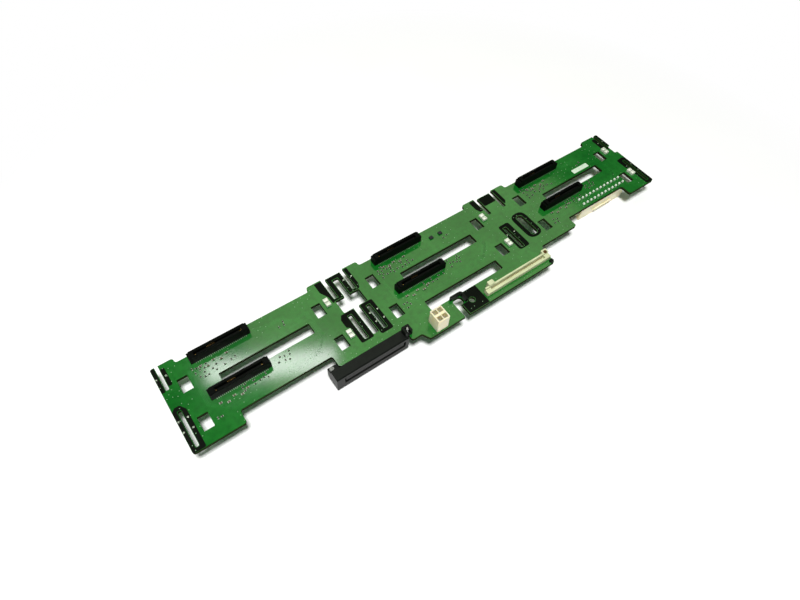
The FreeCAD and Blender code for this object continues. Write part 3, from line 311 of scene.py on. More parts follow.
# %% Finishes of the slots
FINISHES = {
    # Epoxy mask, screened and cured: a clear gloss over a cloudy green.
    "solder_mask": make_solder_mask("solder_mask_on_laminate", "0C611A", "1F7026", "084012"),
    # Glass-filled nylon, moulded: black and satin, with a speckle of fibres; its green tint is a
    # painted reflection of the board.
    "black_moulding": make_moulding(
        "glass_filled_black", "050905", "0C120D", 0.45, 0.35, 0.006, 0.2),
    # Heat-resistant polyamide, moulded: a dry, greenish ivory.
    "ivory_moulding": make_moulding(
        "ivory_high_temperature_plastic", "B9C095", "D2D8AF", 0.38, 0.5, 0.004),
    # Nylon without dye, moulded: warm, and light soaks into it as into wax.
    "natural_nylon": make_moulding("natural_nylon", "EBDFB2", "F9F0D0", 0.4, 0.6, 0.004, waxy=0.5),
    # Gold flashed over nickel: warm and bright.
    "gold_plate": make_metal("gold_over_nickel", "C79A4A", "E8C27A", 0.28, 0.4),
    # Tin from a matt bath: pale and frosted.
    "tin_plate": make_metal("matte_tin", "A9ABA8", "D8D9D5", 0.34, 0.5),
    # Drawn brass gone dull: brown, with little shine.
    "rivet_brass": make_metal("dull_brass", "6B4C2E", "97704A", 0.45, 0.6),
    # White plastic round a small lamp, moulded: smooth and pale.
    "lamp_body": make_moulding("white_lamp_package", "C9D2BE", "EEF1E4", 0.3, 0.5, 0.002),
    # Epoxy moulded round a chip: charcoal grey and matt.
    "chip_moulding": make_moulding("moulded_epoxy", "17181A", "26282A", 0.5, 0.25, 0.005, 0.35),
    # Fired ceramic of a chip capacitor: olive brown and dense.
    "capacitor_ceramic": make_moulding("fired_ceramic", "3F3A28", "5C5238", 0.45, 0.4, 0.003),
    # Epoxy moulded round a tantalum block: mustard yellow.
    "tantalum_case": make_moulding(
        "yellow_moulded_epoxy", "A8802C", "C89C44", 0.45, 0.4, 0.003),
    # Drawn, nickel-plated can: cool and smooth.
    "crystal_can": make_metal("nickel_can", "9FA1A0", "C9CAC8", 0.3, 0.8),
}
print(f"{len(FINISHES)} finishes for the slots")

# %% [markdown]
# ### Dressing the CAD nodes
# Every CAD node takes the finish of its slot. A few look different from the rest of their
# slot and wear a finish of their own: the receptacles are of a deeper black than the other
# mouldings, the rear pins are capped with solder, and the cable header's contacts have only
# a pale flash of gold.

# %% Nodes and their finishes
SLOT_OF = {entry["node"]: entry["material_slot"] for entry in frame["record"]["subparts"]}
# Liquid crystal polymer, moulded: a dry, deep black that hardly shines; its faint green tint is a
# painted reflection of the board.
RECEPTACLE = make_moulding(
    "black_liquid_crystal_polymer", "030503", "080B08", 0.5, 0.35, 0.006, 0.06)
# Solder set from the melt, barely metallic with a soft shine: its near-white is a painted glint,
# and its green tint a painted reflection of the board.
SOLDER_WITH_PAINTED_GLINT = make_metal("solder_with_painted_glint", "D2E4CC", "F4FBF0", 0.4, 0.5, metallic=0.1)
WORN = {
    "rear_power_pins": SOLDER_WITH_PAINTED_GLINT,
    # Gold flashed thinly over nickel: a pale straw tone, hardly a mirror.
    "cable_header_contacts": make_metal(
        "pale_gold_flash", "AE9F78", "CFC29C", 0.5, 0.4, metallic=0.5),
    **{f"drive_connector_{i}": RECEPTACLE for i in range(1, 7)},
    # Nickel-plated steel, turned and gone dull: grey, with a soft shine.
    "hold_down_stud": make_metal("dull_nickel_stud", "6E716E", "A2A5A1", 0.45, 0.6),
}
for name, node in NODES.items():
    node.data.materials.clear()
    node.data.materials.append(WORN.get(name) or FINISHES[SLOT_OF[name]])
print(f"{len(NODES)} nodes dressed, {len(WORN)} of them with a finish of their own")

# %% [markdown]
# ## Making new pieces
# A piece made by a curve or by Geometry Nodes is baked to a plain mesh before it rides on
# the board: doubled points are merged so that its seams are closed, and its faces are turned
# outwards. The thin pieces have crisp edges, so their faces are shaded flat. A piece's
# object stays at the origin.

# %% Baking a piece
MERGE = 0.0005


def bake(name, source, slot, material=None):
    """The evaluated source as a plain closed mesh that rides on the board."""
    bpy.context.view_layer.update()
    graph = bpy.context.evaluated_depsgraph_get()
    mesh = bpy.data.meshes.new_from_object(source.evaluated_get(graph))
    bpy.data.objects.remove(source)
    shape = bmesh.new()
    shape.from_mesh(mesh)
    bmesh.ops.remove_doubles(shape, verts=shape.verts, dist=MERGE * MM)
    bmesh.ops.recalc_face_normals(shape, faces=shape.faces)
    shape.to_mesh(mesh)
    shape.free()
    mesh.shade_flat()
    mesh.materials.clear()
    mesh.materials.append(material or FINISHES[slot])
    mesh.name = name
    piece = placed(name, mesh)
    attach(piece, "root")
    print(f"{name}: {len(mesh.polygons)} faces")
    return piece


# %% [markdown]
# ## Bare black zones
# Round the locating slits and the screw hole the board carries no copper: the laminate is
# bare and nearly black under the mask. Each zone is a very thin plate with the slits left
# open. It could be cut from a plate with booleans, but a flat curve with holes fills itself,
# which is simpler and always closed. Its corners are rounded by a small arc at each point.

# %% Rounded outlines
CORNER_STEPS = 4


def rounded(points, radius):
    """A closed outline whose corners are arcs of that radius."""
    corners = [Vector(p) for p in points]
    outline = []
    for i, corner in enumerate(corners):
        before, after = corners[i - 1] - corner, corners[(i + 1) % len(corners)] - corner
        half = before.angle(after) / 2
        reach = min(radius / math.tan(half), before.length * 0.49, after.length * 0.49)
        start, end = corner + before.normalized() * reach, corner + after.normalized() * reach
        for step in range(CORNER_STEPS + 1):
            t = step / CORNER_STEPS
            outline.append(start * (1 - t) ** 2 + corner * 2 * t * (1 - t) + end * t ** 2)
    return outline


def box_outline(x0, x1, y0, y1):
    """The corners of a rectangle, taken anticlockwise."""
    return [(x0, y0), (x1, y0), (x1, y1), (x0, y1)]


print(f"a rounded box has {len(rounded(box_outline(0.0, 9.0, 0.0, 9.0), 1.0))} points")


# %% Flat plates with holes
def flat_plate(name, loops, slot, material, thick):
    """A plate on the board from outlines in board millimetres; inner outlines are holes."""
    curve = bpy.data.curves.new(name, "CURVE")
    curve.dimensions = "2D"
    curve.fill_mode = "BOTH"
    curve.extrude = thick * MM / 2
    for loop in loops:
        spline = curve.splines.new("POLY")
        spline.points.add(len(loop) - 1)
        for point, (x, y) in zip(spline.points, loop):
            point.co = (*at(x, y)[:2], 0.0, 1.0)
        spline.use_cyclic_u = True
    outline = placed(name, curve)
    outline.location.z = thick / 2 * MM
    bpy.context.view_layer.update()
    graph = bpy.context.evaluated_depsgraph_get()
    mesh = bpy.data.meshes.new_from_object(outline.evaluated_get(graph))
    mesh.transform(outline.matrix_world)
    bpy.data.objects.remove(outline)
    return bake(name, placed(name + "_mesh", mesh), slot, material)


# %% [markdown]
# ### Slits
# The cage's fingers locate the board in slits: a pair at each joint between two drive columns
# and one at each end. A zone leaves each slit open with a small lip, so that the board's own
# edge still shows round the opening.

# %% Slits of the board
JOINT = 135.9
SLIT_OFFSET = 7.7
SLIT_WIDTH = 3.2
END_SLIT_WIDTH = 2.4
END_SLIT_INSET = 4.1
LAST_JOINT = JOINT + COLUMN_PITCH
LOW_SLIT = (8.0, 30.0)
END_SLIT = (3.0, 30.0)
WIDE_SLIT = (9.4, 6.0, 12.0, 33.0)
LIP = 0.25


def slit_loop(centre, width, low, high, radius=0.9):
    """The outline of a slit, a lip wider than the slit itself."""
    half = width / 2 + LIP
    return rounded(box_outline(centre - half, centre + half, low - LIP, high + LIP), radius)


print(f"joint slits {SLIT_WIDTH} mm wide, {2 * SLIT_OFFSET:.1f} mm apart")

# %% The plate of a zone
# Bare laminate, cured nearly black: matt. Its speckle is drawn coarser than the real weave,
# which is too fine to show.
BARE = make_moulding("bare_black_laminate", "050805", "0D130A", 0.6, 1.2, 0.006, 0.06)
PLATE = 0.03
EDGE_GAP = 0.15
ZONE_TOP = 65.6
SLIT_FOOT = 46.7


def bare_zone(name, outline, *holes, radius=0.5):
    """A black plate on the drive side with its own holes."""
    loops = [rounded(outline, radius), *holes]
    return flat_plate("bare_zone_" + name, loops, "solder_mask", BARE, PLATE)


print(f"plates {PLATE} mm thick")

# %% [markdown]
# ### The zones one by one
# The first joint has one zone above its window, which runs round both open slits and over
# the head of the long slit, and one zone on each side below the window. The last joint has
# a broad oval round its wide slit. Both ends of the board have a narrow zone on each side
# of their open slit and a tall one round the closed slit.

# %% Zones at the first joint
left, right = JOINT - SLIT_OFFSET, JOINT + SLIT_OFFSET
half = SLIT_WIDTH / 2 + LIP
bare_zone("joint_1_high", [
    (120.8, ZONE_TOP), (120.8, 57.0), (124.0, 50.5), (124.3, 44.6), (125.8, 44.6),
    (125.8, 45.3), (133.3, 45.3), (133.3, 61.8), (138.5, 61.8), (138.5, 45.3), (145.95, 45.3),
    (147.0, 46.0), (148.3, 50.0), (148.3, ZONE_TOP), (right + half, ZONE_TOP),
    (right + half, SLIT_FOOT), (right - half, SLIT_FOOT), (right - half, 64.8),
    (left + half, 64.8), (left + half, SLIT_FOOT), (left - half, SLIT_FOOT),
    (left - half, ZONE_TOP),
], radius=0.4)
bare_zone("joint_1_low_left", [
    (123.4, 6.4), (133.3, 6.4), (133.3, 32.9), (123.2, 32.9), (121.1, 29.5), (121.1, 22.4),
    (123.4, 21.0),
], slit_loop(left, SLIT_WIDTH, *LOW_SLIT), radius=1.2)
bare_zone("joint_1_low_right", box_outline(138.5, 148.4, 5.0, 32.9),
          slit_loop(right, SLIT_WIDTH, *LOW_SLIT), radius=1.6)

# %% Zones at the last joint
left, right = LAST_JOINT - SLIT_OFFSET, LAST_JOINT + SLIT_OFFSET
bare_zone("joint_2_high_left", [
    (264.6, ZONE_TOP), (264.6, 57.0), (266.2, 53.0), (left - half, 53.0),
    (left - half, ZONE_TOP)])
bare_zone("joint_2_bar", box_outline(left + half, right - half, 55.6, 64.8), radius=1.2)
bare_zone("joint_2_high_right", [
    (right + half, ZONE_TOP), (right + half, 50.0), (289.4, 49.0), (291.6, 52.0),
    (291.6, ZONE_TOP)])
bare_zone("joint_2_low_left", box_outline(267.2, 277.3, 6.6, 33.0),
          slit_loop(left, SLIT_WIDTH, *LOW_SLIT), radius=2.2)
offset, width, low, high = WIDE_SLIT
bare_zone("joint_2_low_right", box_outline(281.4, 294.8, 9.6, 36.2),
          slit_loop(LAST_JOINT + offset, width, low, high, 2.7), radius=6.2)

# %% Zones at both ends
near, far = END_SLIT_INSET, BOARD_LENGTH - END_SLIT_INSET
first, last = EDGE_GAP, BOARD_LENGTH - EDGE_GAP
half = END_SLIT_WIDTH / 2 + LIP
bare_zone("left_end_high_left", box_outline(first, near - half, 46.4, 66.2), radius=0.5)
bare_zone("left_end_high_right", box_outline(near + half, 8.4, 49.0, 63.4), radius=1.2)
bare_zone("left_end_low", [
    (first, EDGE_GAP), (8.6, EDGE_GAP), (8.6, 29.0), (5.8, 33.4), (2.4, 33.4), (first, 31.0),
], slit_loop(near, END_SLIT_WIDTH, *END_SLIT), radius=1.2)
bare_zone("right_end_high_right", box_outline(far + half, last, 50.6, 66.2), radius=0.5)
bare_zone("right_end_high_left", box_outline(403.6, far - half, 51.0, 63.4), radius=1.2)
bare_zone("right_end_low", [
    (405.2, EDGE_GAP), (412.85, EDGE_GAP), (412.85, 32.0), (410.4, 33.6), (403.6, 33.0),
    (403.6, 22.4), (405.2, 21.0),
], slit_loop(far, END_SLIT_WIDTH, *END_SLIT), radius=1.6)

# %% [markdown]
# ### Round the screw
# The screw's head and the cage's hook both bear on the board here, so the black zone is a
# full square that the hook's slot cuts into. A coarse circle is enough for the screw hole,
# because the board's own edge shows beside it.

# %% Zone at the screw
SCREW = (207.5, -8.0)
SCREW_HOLE = 2.25
CIRCLE_SIDES = 32


def circle(x, y, radius):
    """The corners of a circle."""
    turns = [2 * math.pi * i / CIRCLE_SIDES for i in range(CIRCLE_SIDES)]
    return [(x + radius * math.cos(a), y + radius * math.sin(a)) for a in turns]


bare_zone("screw", [
    (199.1, -16.3), (217.0, -16.3), (217.0, 0.8), (204.0, 0.8), (204.0, -7.3), (199.1, -7.3),
], circle(*SCREW, SCREW_HOLE + LIP), radius=0.3)

# %% [markdown]
# ## Copies from node trees
# A board is full of small things that are all alike: pads, solder joints, tails, chips and
# vias. They could be copied in a loop, but a Geometry Nodes tree keeps their sizes as named
# inputs that can still be changed. Every tree starts and ends in the same way: it ends in
# Realize Instances and Set Material, and its result is baked.

# %% The ends of a node tree
def new_tree(name, sockets):
    """A geometry node tree with its named inputs, and the identifier of each."""
    tree = bpy.data.node_groups.new(name, "GeometryNodeTree")
    tree.interface.new_socket("Geometry", in_out="INPUT", socket_type="NodeSocketGeometry")
    tree.interface.new_socket("Geometry", in_out="OUTPUT", socket_type="NodeSocketGeometry")
    known = {}
    for label, kind, value in sockets:
        socket = tree.interface.new_socket(label, in_out="INPUT", socket_type=kind)
        socket.default_value = value
        known[label] = socket.identifier
    return tree, known, add(tree, "NodeGroupInput"), add(tree, "NodeGroupOutput")


def end_tree(tree, geometry, exit_node, material):
    """Realize Instances and Set Material, which every tree ends in."""
    real = add(tree, "GeometryNodeRealizeInstances", inputs={"Geometry": geometry})
    dressed = add(tree, "GeometryNodeSetMaterial", inputs={"Geometry": real.outputs["Geometry"]})
    dressed.inputs["Material"].default_value = material
    tree.links.new(dressed.outputs["Geometry"], exit_node.inputs["Geometry"])


def grown(name, source, tree, values, slot, material):
    """The tree's result on a source object, as a plain piece."""
    growth = source.modifiers.new("growth", "NODES")
    growth.node_group = tree
    for identifier, value in values.items():
        growth[identifier] = value
    return bake(name, source, slot, material)


# %% [markdown]
# ## Bright dots
# Each zone carries small bare pads of tinned copper that earth the cage's fingers. They are
# all the same flat button, so a node tree copies one button onto a cloud of points. The
# points are the vertices of a small mesh made from the list of places.

# %% Points on the board
def mesh_object(name, points, edges=(), faces=()):
    """An object with a mesh of those points, edges and faces."""
    mesh = bpy.data.meshes.new(name)
    mesh.from_pydata(points, edges, faces)
    return placed(name, mesh)


def points_object(name, places):
    """A mesh of loose points at places on the board."""
    return mesh_object(name, [at(*place) for place in places])


# %% Buttons
def buttons(name, places, radius, height, material, sides=12, top=0.8, length=1.0):
    """One flat button on every place; length stretches it along the board."""
    tree, known, entry, exit_node = new_tree(name + "_tree", [
        ("Radius", "NodeSocketFloat", 0.0), ("Height", "NodeSocketFloat", 0.0),
        ("Top", "NodeSocketFloat", 1.0), ("Sides", "NodeSocketInt", 12),
        ("Stretch", "NodeSocketFloat", 1.0)])
    tip = add(tree, "ShaderNodeMath", {"operation": "MULTIPLY"},
              {0: entry.outputs["Radius"], 1: entry.outputs["Top"]}).outputs["Value"]
    button = add(tree, "GeometryNodeMeshCone", inputs={
        "Vertices": entry.outputs["Sides"], "Radius Top": tip,
        "Radius Bottom": entry.outputs["Radius"], "Depth": entry.outputs["Height"]})
    stretch = add(tree, "ShaderNodeCombineXYZ",
                  inputs={"X": entry.outputs["Stretch"], "Y": 1.0, "Z": 1.0})
    points = add(tree, "GeometryNodeMeshToPoints", inputs={"Mesh": entry.outputs["Geometry"]})
    copies = add(tree, "GeometryNodeInstanceOnPoints", inputs={
        "Points": points.outputs["Points"], "Instance": button.outputs["Mesh"],
        "Scale": stretch.outputs["Vector"]})
    end_tree(tree, copies.outputs["Instances"], exit_node, material)
    values = {known["Radius"]: radius * MM, known["Height"]: height * MM, known["Top"]: top,
              known["Sides"]: sides, known["Stretch"]: length}
    source = points_object(name + "_points", places)
    return grown(name, source, tree, values, "tin_plate", material)


# %% Earth pads
# Copper dipped in hot tin: pale, soft-edged patches of shine.
PAD_TIN = make_metal("hot_tinned_pad", "8E9A88", "C6D2BE", 0.42, 0.7)
PAD_RADIUS, PAD_HEIGHT, PAD_STRETCH = 0.62, 0.06, 1.25
PAD_PLACES = {  # two places along the board, and the places across it
    (0.85, 7.1): (15.6, 23.6, 57.4),
    (141.0, 147.4): (15.6, 23.6, 57.6),
    (268.4, 275.8): (23.2,),
    (406.3, 411.8): (15.6, 23.6, 57.4),
}
pads = [(x, y, PLATE) for along, across in PAD_PLACES.items() for x in along for y in across]
buttons("earth_pads", pads, PAD_RADIUS, PAD_HEIGHT, PAD_TIN, length=PAD_STRETCH)

# %% [markdown]
# ## Solder joints
# The power pins come right through the board and end in cones of solder, bright with a painted
# glint. A turned profile would give the true curve of the wetted metal, but at this size a cone cut
# off near its tip, with its foot as wide as the pad, has the same outline with far fewer faces.

# %% Solder joints
PIN_START, PIN_PITCH, PIN_COUNT = 342.1, 4.2, 12
PIN_ROWS = (12.65, 18.15)
SOLDER_RADIUS, SOLDER_HEIGHT = 1.0, 1.1
rear_joints = [(PIN_START + PIN_PITCH * i, y, SOLDER_HEIGHT / 2)
               for i in range(PIN_COUNT) for y in PIN_ROWS]
buttons("rear_header_solder", rear_joints, SOLDER_RADIUS, SOLDER_HEIGHT, SOLDER_WITH_PAINTED_GLINT,
        sides=14, top=0.7)

# %% [markdown]
# ## Copies of small blocks
# Chip parts, their tinned ends and the flat tails of the receptacles are all small blocks, so
# one node tree serves them. It stands a block on every point it is given, or, when it is
# given patches, first scatters the points over them with a fixed seed and a least distance,
# as a layout does. A scattered block lies along the board or across it by chance.

# %% Patches
def patches_object(name, patches):
    """A mesh of flat rectangles on the board."""
    corners = [at(*corner) for patch in patches for corner in box_outline(*patch)]
    faces = [tuple(range(i, i + 4)) for i in range(0, len(corners), 4)]
    return mesh_object(name, corners, faces=faces)


# %% Blocks
BLOCK_DENSITY = 400000.0  # more points than fit, so that the gap alone thins them


def blocks(name, source, size, slot, material, gap=0.0, seed=1):
    """A block of that size on every point, or scattered over patches when a gap is given."""
    tree, known, entry, exit_node = new_tree(name + "_tree", [
        ("Size", "NodeSocketVector", (0.0, 0.0, 0.0)), ("Gap", "NodeSocketFloat", 0.001),
        ("Seed", "NodeSocketInt", 1)])
    cube = add(tree, "GeometryNodeMeshCube", inputs={"Size": entry.outputs["Size"]})
    lift = add(tree, "ShaderNodeVectorMath", {"operation": "MULTIPLY"},
               {0: entry.outputs["Size"], 1: (0.0, 0.0, 0.5)}).outputs["Vector"]
    block = add(tree, "GeometryNodeTransform",
                inputs={"Geometry": cube.outputs["Mesh"], "Translation": lift})
    chance = add(tree, "FunctionNodeRandomValue", {"data_type": "INT"},
                 {"Seed": entry.outputs["Seed"]})
    chance.inputs[4].default_value, chance.inputs[5].default_value = 0, 1
    if gap:
        spots = add(tree, "GeometryNodeDistributePointsOnFaces", {"distribute_method": "POISSON"}, {
            "Mesh": entry.outputs["Geometry"], "Distance Min": entry.outputs["Gap"],
            "Density Max": BLOCK_DENSITY, "Seed": entry.outputs["Seed"]}).outputs["Points"]
        turn = add(tree, "ShaderNodeMath", {"operation": "MULTIPLY"},
                   {0: chance.outputs[2], 1: math.pi / 2}).outputs["Value"]
    else:
        spots = add(tree, "GeometryNodeMeshToPoints",
                    inputs={"Mesh": entry.outputs["Geometry"]}).outputs["Points"]
        turn = 0.0
    facing = add(tree, "ShaderNodeCombineXYZ", inputs={"Z": turn}).outputs["Vector"]
    copies = add(tree, "GeometryNodeInstanceOnPoints", inputs={
        "Points": spots, "Instance": block.outputs["Geometry"], "Rotation": facing})
    end_tree(tree, copies.outputs["Instances"], exit_node, material)
    values = {known["Size"]: [v * MM for v in size], known["Gap"]: gap * MM, known["Seed"]: seed}
    return grown(name, source, tree, values, slot, material)


# %% [markdown]
# ### Receptacle tails
# Each drive receptacle is soldered down by a row of flat tails along both sides. They stick
# out a little from under the housing, at the contact pitch of 1.27 mm.

# %% Tails
# Tin melted and set again in the oven: greyer and duller than fresh tin.
TAIL_TIN = make_metal("reflowed_tin", "7C807A", "B4B8AE", 0.4, 0.4)
LOWER_ROW = 27.7
ROWS = [LOWER_ROW, LOWER_ROW + ROW_PITCH]
RECEPTACLE_MIDDLE = 44.7
CONTACT_PITCH = 1.27
TAIL_REACH = 3.1
TAIL = (0.5, 1.1, 0.16)
tails = [(column + RECEPTACLE_MIDDLE + CONTACT_PITCH * i, row + side * TAIL_REACH)
         for column in COLUMNS for row in ROWS for side in (-1, 1) for i in range(-14, 15)]
blocks("receptacle_tails", points_object("tail_points", tails), TAIL, "tin_plate", TAIL_TIN)

# %% [markdown]
# ### Ends of the bay capacitors
# The chip capacitors below the receptacles are solids of the CAD model. Their ends are dipped
# and tinned, so a slightly larger block caps each end and leaves the ceramic bare between.

# %% Capacitor ends
# Tin over a chip's silvered end: pale, and dull enough to be half metallic.
CHIP_TIN = make_metal("tinned_end", "9BA195", "C9CEC1", 0.42, 0.3, metallic=0.5)
CAPACITOR_START, CAPACITOR_STEP, CAPACITOR_COUNT = 27.5, 4.6, 5
CAPACITOR_DROP, CAPACITOR_STAGGER = 7.4, 2.1
END_SHIFTS = (-0.8, 0.8)
CHIP_END = (0.42, 1.08, 0.84)
ends = [(column + CAPACITOR_START + CAPACITOR_STEP * i + shift,
         row - CAPACITOR_DROP - CAPACITOR_STAGGER * (i % 2))
        for column in COLUMNS for row in ROWS for i in range(CAPACITOR_COUNT)
        for shift in END_SHIFTS]
blocks("capacitor_ends", points_object("end_points", ends), CHIP_END, "tin_plate", CHIP_TIN)

# %% [markdown]
# ### Small chip parts
# Round each receptacle the board carries a loose crowd of terminating parts, each about
# 1.6 mm long. A tinned block stands for both ends, and a slightly fatter dark block over its
# middle is the body. Both are scattered with the same seed, so they fall on the same places.

# %% Chip parts
# Glazed resistor body on ceramic: nearly black, with a warm tint.
CHIP_BODY = make_moulding("chip_resistor_body", "14140F", "2A2A22", 0.5, 0.4, 0.003, 0.3)
CHIP_PARTS = {"ends": ((1.6, 0.78, 0.4), CHIP_TIN), "bodies": ((1.0, 0.86, 0.46), CHIP_BODY)}
CHIP_GAP = 2.6
FIRST_SEED = 7
CROWD = [(22.0, 33.0, 42.5, 52.5), (33.0, 50.0, 43.0, 47.0), (43.0, 62.0, 19.0, 23.5),
         (70.0, 81.0, 23.0, 29.5), (82.0, 88.0, 47.4, 51.0), (21.0, 27.0, 11.0, 16.0)]
for i, column in enumerate(COLUMNS):
    places = [(x0 + column, x1 + column, y0, y1) for x0, x1, y0, y1 in CROWD]
    for part, (size, material) in CHIP_PARTS.items():
        blocks(f"chip_{part}_{i + 1}", patches_object("crowd", places), size, "chip_moulding",
               material, gap=CHIP_GAP, seed=FIRST_SEED + i)

# %% [markdown]
# ## Tracks
# Copper tracks show through the mask as faint raised lines. They could be painted into
# the mask, but real ribbons catch the light as the real tracks do. A bus is one path and its
# parallel copies, mitred at every bend. The node tree turns the paths into flat ribbons by
# sweeping a small rectangle along them.

# %% Track buses
TRACK_PITCH = 0.8


def bus(path, count):
    """Parallel copies of a path in board millimetres."""
    spots = [Vector(spot) for spot in path]
    ways = [(b - a).normalized() for a, b in zip(spots, spots[1:])]
    lines = []
    for i in range(count):
        offset = (i - (count - 1) / 2) * TRACK_PITCH
        line = []
        for j, spot in enumerate(spots):
            before, after = ways[max(j - 1, 0)], ways[min(j, len(ways) - 1)]
            side = Vector((-before.y - after.y, before.x + after.x)) / (1 + before.dot(after))
            line.append(spot + side * offset)
        lines.append(line)
    return lines


print(f"two tracks make {len(bus([(0.0, 0.0), (1.0, 0.0)], 2))} lines, {TRACK_PITCH} mm apart")


# %% Ribbons
def ribbons(name, lines, width, thick, slot, material):
    """Flat ribbons along polylines on the board."""
    points, edges = [], []
    for line in lines:
        start = len(points)
        points += [at(spot.x, spot.y, thick / 2) for spot in line]
        edges += [(start + i, start + i + 1) for i in range(len(line) - 1)]
    holder = mesh_object(name + "_paths", points, edges=edges)
    tree, known, entry, exit_node = new_tree(name + "_tree", [
        ("Width", "NodeSocketFloat", 0.0), ("Thickness", "NodeSocketFloat", 0.0)])
    paths = add(tree, "GeometryNodeMeshToCurve", inputs={"Mesh": entry.outputs["Geometry"]})
    section = add(tree, "GeometryNodeCurvePrimitiveQuadrilateral", inputs={
        "Width": entry.outputs["Width"], "Height": entry.outputs["Thickness"]})
    swept = add(tree, "GeometryNodeCurveToMesh", inputs={
        "Curve": paths.outputs["Curve"], "Profile Curve": section.outputs["Curve"],
        "Fill Caps": True})
    end_tree(tree, swept.outputs["Mesh"], exit_node, material)
    values = {known["Width"]: width * MM, known["Thickness"]: thick * MM}
    piece = grown(name, holder, tree, values, slot, material)
    heights = [v.co.z / MM for v in piece.data.vertices]
    print(f"  {len(lines)} lines, z {min(heights):.3f} to {max(heights):.3f} mm")
    return piece


# %% Tracks of every column
# The same mask over a copper track: a shade lighter, because copper lies right under it.
TRACK = make_solder_mask("mask_over_track", "176F24", "2B7E33", "0E4F19")
TRACK_WIDTH, TRACK_RISE = 0.32, 0.03
TRACK_PATHS = [  # each path with the number of its parallel copies
    ([(68.0, 58.0), (72.0, 54.0), (86.0, 54.0), (92.0, 48.0), (104.5, 48.0), (104.5, 24.0),
      (98.0, 17.5), (64.0, 17.5)], 4),
    ([(30.0, 54.0), (30.0, 45.0), (33.0, 42.0), (88.0, 42.0), (92.0, 44.5), (101.0, 44.5)], 3),
    ([(28.0, 24.0), (28.0, 18.0), (32.0, 14.0), (92.0, 14.0), (100.0, 22.0), (106.0, 28.0)], 4),
    ([(20.5, 52.0), (20.5, 24.0), (24.0, 20.5), (40.0, 20.5)], 3),
]
lines = []
for column in COLUMNS:
    for path, count in TRACK_PATHS:
        lines += bus([(x + column, y) for x, y in path], count)
ribbons("tracks", lines, TRACK_WIDTH, TRACK_RISE, "solder_mask", TRACK)

# %% [markdown]
# ## Vias
# Small tinned vias join the copper layers. They are scattered on the upper face of the board
# itself, so none falls into an opening. Those too near a routed wall are taken out again, as
# a layout rule would do, and a noise thins the rest to loose groups.

# %% Where the vias fall
VIA_DENSITY = 200000.0  # more points than fit, so that the gap alone thins them
WALL_MARGIN = 0.7
GROUP_SIZE, GROUP_LEVEL = 16.0, 0.54


def below(tree, value, limit):
    """True where the value is under the limit."""
    return add(tree, "FunctionNodeCompare", {"data_type": "FLOAT", "operation": "LESS_THAN"},
               {0: value, 1: limit}).outputs["Result"]


def via_spots(tree, entry):
    """Points on the upper face of the incoming board, in groups and away from its walls."""
    board = entry.outputs["Geometry"]
    facing = add(tree, "GeometryNodeInputNormal").outputs["Normal"]
    up = add(tree, "ShaderNodeSeparateXYZ", inputs={"Vector": facing}).outputs["Z"]
    upright = add(tree, "ShaderNodeMath", {"operation": "ABSOLUTE"}, {0: up}).outputs["Value"]
    walls = add(tree, "GeometryNodeSeparateGeometry", {"domain": "FACE"}, {
        "Geometry": board, "Selection": below(tree, upright, 0.5)}).outputs["Selection"]
    spots = add(tree, "GeometryNodeDistributePointsOnFaces", {"distribute_method": "POISSON"}, {
        "Mesh": board, "Distance Min": entry.outputs["Gap"], "Density Max": VIA_DENSITY,
        "Density Factor": span(tree, up, 0.9, 0.95),
        "Seed": entry.outputs["Seed"]}).outputs["Points"]
    place = add(tree, "GeometryNodeInputPosition").outputs["Position"]
    margin = add(tree, "GeometryNodeProximity", {"target_element": "FACES"}, {0: walls})
    for value, least in ((grain(tree, place, GROUP_SIZE), GROUP_LEVEL),
                         (margin.outputs["Distance"], WALL_MARGIN * MM)):
        spots = add(tree, "GeometryNodeDeleteGeometry", {"domain": "POINT"}, {
            "Geometry": spots, "Selection": below(tree, value, least)}).outputs["Geometry"]
    return spots


print(f"vias keep {WALL_MARGIN} mm off a routed wall")

# %% Vias
VIA_SIDES = 8
VIA_RADIUS, VIA_HEIGHT, VIA_GAP = 0.3, 0.09, 3.0
VIA_SEED = 5


def vias(name, radius, height, gap, seed, slot, material):
    """Tinned dots scattered over the upper face of the board."""
    board = NODES["circuit_board"]
    mesh = board.data.copy()
    mesh.transform(board.matrix_world)
    holder = placed(name + "_face", mesh)
    tree, known, entry, exit_node = new_tree(name + "_tree", [
        ("Radius", "NodeSocketFloat", 0.0), ("Height", "NodeSocketFloat", 0.0),
        ("Gap", "NodeSocketFloat", 0.001), ("Seed", "NodeSocketInt", 1)])
    dot = add(tree, "GeometryNodeMeshCone", inputs={
        "Vertices": VIA_SIDES, "Radius Top": entry.outputs["Radius"],
        "Radius Bottom": entry.outputs["Radius"], "Depth": entry.outputs["Height"]})
    copies = add(tree, "GeometryNodeInstanceOnPoints", inputs={
        "Points": via_spots(tree, entry), "Instance": dot.outputs["Mesh"]})
    end_tree(tree, copies.outputs["Instances"], exit_node, material)
    values = {known["Radius"]: radius * MM, known["Height"]: height * MM,
              known["Gap"]: gap * MM, known["Seed"]: seed}
    return grown(name, holder, tree, values, slot, material)


# Tin under a thin tent of mask: a pale green dot, only partly metallic.
VIA_TIN = make_metal("tented_via", "5C8A5E", "9DC49A", 0.45, 0.6, metallic=0.4)
vias("vias", VIA_RADIUS, VIA_HEIGHT, VIA_GAP, VIA_SEED, "tin_plate", VIA_TIN)

# %% [markdown]
# ## Blank label
# A plain white label lies above the last air slot. It is a thin sheet of film with rounded
# corners and nothing printed on it, so the flat plate that made the zones makes it too.

# %% Label
# Polyester film with a satin face: white, with the green of the board glowing through.
LABEL = make_moulding("blank_polyester_film", "BFD8BE", "DDEBD8", 0.35, 1.5, 0.002)
LABEL_THICK = 0.08
sheet = rounded(box_outline(361.0, 378.4, 42.0, 46.2), 0.6)
flat_plate("blank_label", [sheet], "lamp_body", LABEL, LABEL_THICK)

